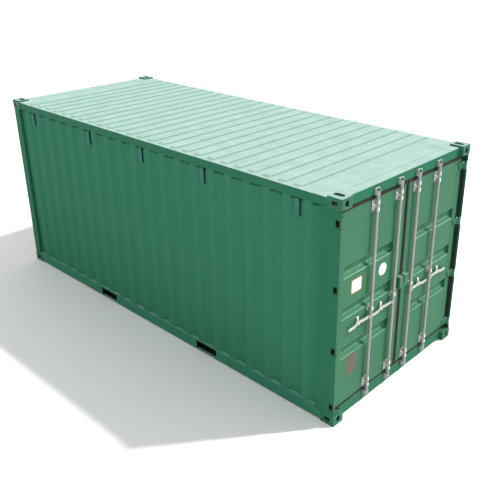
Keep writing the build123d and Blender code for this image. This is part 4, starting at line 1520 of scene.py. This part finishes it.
@dataclass
class DoorPlates(SubAssembly):
    """Bare data plate, plain board and plain disc on the left leaf, by their Y and Z."""

    plate_low: Pair = (-0.946, 0.480)
    plate_high: Pair = (-0.770, 0.721)
    plate_thickness: float = 0.0015
    rivet_inset: float = 0.012
    rivet_radius: float = 0.004
    rivet_height: float = 0.002
    board_low: Pair = (-0.923, 1.462)
    board_high: Pair = (-0.748, 1.619)
    board_border: float = 0.009
    board_thickness: float = 0.0008
    inner_thickness: float = 0.0012
    disc_centre: Pair = (-0.371, 1.547)
    disc_radius: float = 0.071
    disc_thickness: float = 0.0008
    disc_sides: int = 56
    corner_radius: float = 0.006
    body: str = Side.LEFT.body

    def build(self) -> None:
        """Lay the plates."""
        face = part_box("left_leaf_panel")[1].x
        paint, inset, border = self.paint, self.rivet_inset, self.board_border
        (y_low, z_low), (y_high, z_high) = self.plate_low, self.plate_high
        self._flat("data_plate", face, self.plate_low, self.plate_high, paint.plate, self.plate_thickness)
        points = [(face + self.plate_thickness, y, z) for y in (y_low + inset, y_high - inset)
                  for z in (z_low + inset, (z_low + z_high) / 2, z_high - inset)]
        self.shop.heads(Head.RIVET, "data_plate_rivets", self.body, points, TOWARDS_DOORS, self.rivet_radius,
                        self.rivet_height, paint.bars)
        self._flat("orange_board", face, self.board_low, self.board_high, paint.orange, self.board_thickness)
        inner_low = tuple(part + border for part in self.board_low)
        inner_high = tuple(part - border for part in self.board_high)
        self._flat("white_board", face, inner_low, inner_high, paint.white, self.inner_thickness)
        self._disc("white_disc", face)

    def _flat(self, name: str, face: float, low: Pair, high: Pair, material: Material,
              thickness: float) -> None:
        """Lay a flat plate with rounded corners.

        Args:
            name: Name of the piece.
            face: Level of the door sheet's face.
            low: Lowest Y and Z.
            high: Highest Y and Z.
            material: Its finish.
            thickness: How far it stands out.
        """
        box = (face, *low), (face + thickness, *high)
        self.shop.lay(name, self.body, material, [box], self.corner_radius)

    def _disc(self, name: str, face: float) -> None:
        """Lay the plain round plate on the door sheet's face."""
        work = bmesh.new()
        place = Matrix.Translation((face + self.disc_thickness / 2, *self.disc_centre))
        bmesh.ops.create_cone(work, cap_ends=True, segments=self.disc_sides, radius1=self.disc_radius,
                              radius2=self.disc_radius, depth=self.disc_thickness,
                              matrix=place @ Matrix.Rotation(math.pi / 2, 4, "Y"))
        piece = piece_of(name, work, self.paint.white)
        shade(piece, PLATE_SHARP)
        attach(piece, self.body)
        LOG.info("%s laid", name)


# Studio


@dataclass
class Studio:
    """Camera, light and floor."""

    eye: Point = (6.480, -5.876, 4.824)
    forward: Point = (-0.6193, 0.678, -0.396)
    lens: float = 48.816
    sensor: float = 36.0
    shift_x: float = -0.0546
    shift_y: float = -0.049
    reach: float = 200.0
    sun_from: Point = (0.39, 0.51, 0.77)
    sun_strength: float = 4.1
    sun_degrees: float = 3.0
    sun_colour: Colour = (1.0, 0.985, 0.95)
    sky_colour: Colour = (1.0, 1.0, 1.0)
    sky_strength: float = 0.85
    floor_colour: Colour = (0.88, 0.88, 0.88)
    floor_roughness: float = 0.9
    floor_size: float = 60.0

    def build(self) -> None:
        """Set up the camera, the light and the floor."""
        scene = bpy.context.scene
        scene.view_settings.view_transform = "Standard"
        lens = bpy.data.cameras.new("camera")
        lens.lens = self.lens
        lens.sensor_width = self.sensor
        lens.shift_x = self.shift_x
        lens.shift_y = self.shift_y
        lens.clip_end = self.reach
        camera = link(bpy.data.objects.new("camera", lens))
        camera.location = self.eye
        camera.rotation_euler = Vector(self.forward).to_track_quat("-Z", "Y").to_euler()
        scene.camera = camera
        lamp = bpy.data.lights.new("sun", "SUN")
        lamp.energy = self.sun_strength
        lamp.angle = math.radians(self.sun_degrees)
        lamp.color = self.sun_colour
        sun = link(bpy.data.objects.new("sun", lamp))
        sun.rotation_euler = Vector(self.sun_from).to_track_quat("Z", "Y").to_euler()
        world = bpy.data.worlds.new("sky")
        world.use_nodes = True
        backdrop = world.node_tree.nodes["Background"]
        backdrop.inputs["Color"].default_value = (*self.sky_colour, OPAQUE)
        backdrop.inputs["Strength"].default_value = self.sky_strength
        scene.world = world
        self._floor()

    def _floor(self) -> None:
        """Lay the plain pale floor."""
        work = bmesh.new()
        bmesh.ops.create_grid(work, x_segments=1, y_segments=1, size=self.floor_size)
        material = bpy.data.materials.new("pale_floor")
        material.use_nodes = True
        shader = material.node_tree.nodes["Principled BSDF"]
        shader.inputs["Base Color"].default_value = (*self.floor_colour, OPAQUE)
        shader.inputs["Roughness"].default_value = self.floor_roughness
        piece_of("floor", work, material)


def main() -> None:
    """Build the container's looks around its frame."""
    logging.basicConfig(level=logging.INFO, format="%(name)s: %(message)s")
    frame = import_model()
    Studio().build()
    shop = Workshop(frame)
    for part in (SteelFrame, CorrugatedWalls, Roof, Vents, Underframe):
        part(shop).build()
    for side in Side:
        DoorLeaf(shop, side).build()
        LockingGear(shop, side).build()
    DoorPlates(shop).build()


if __name__ == "__main__":
    main()
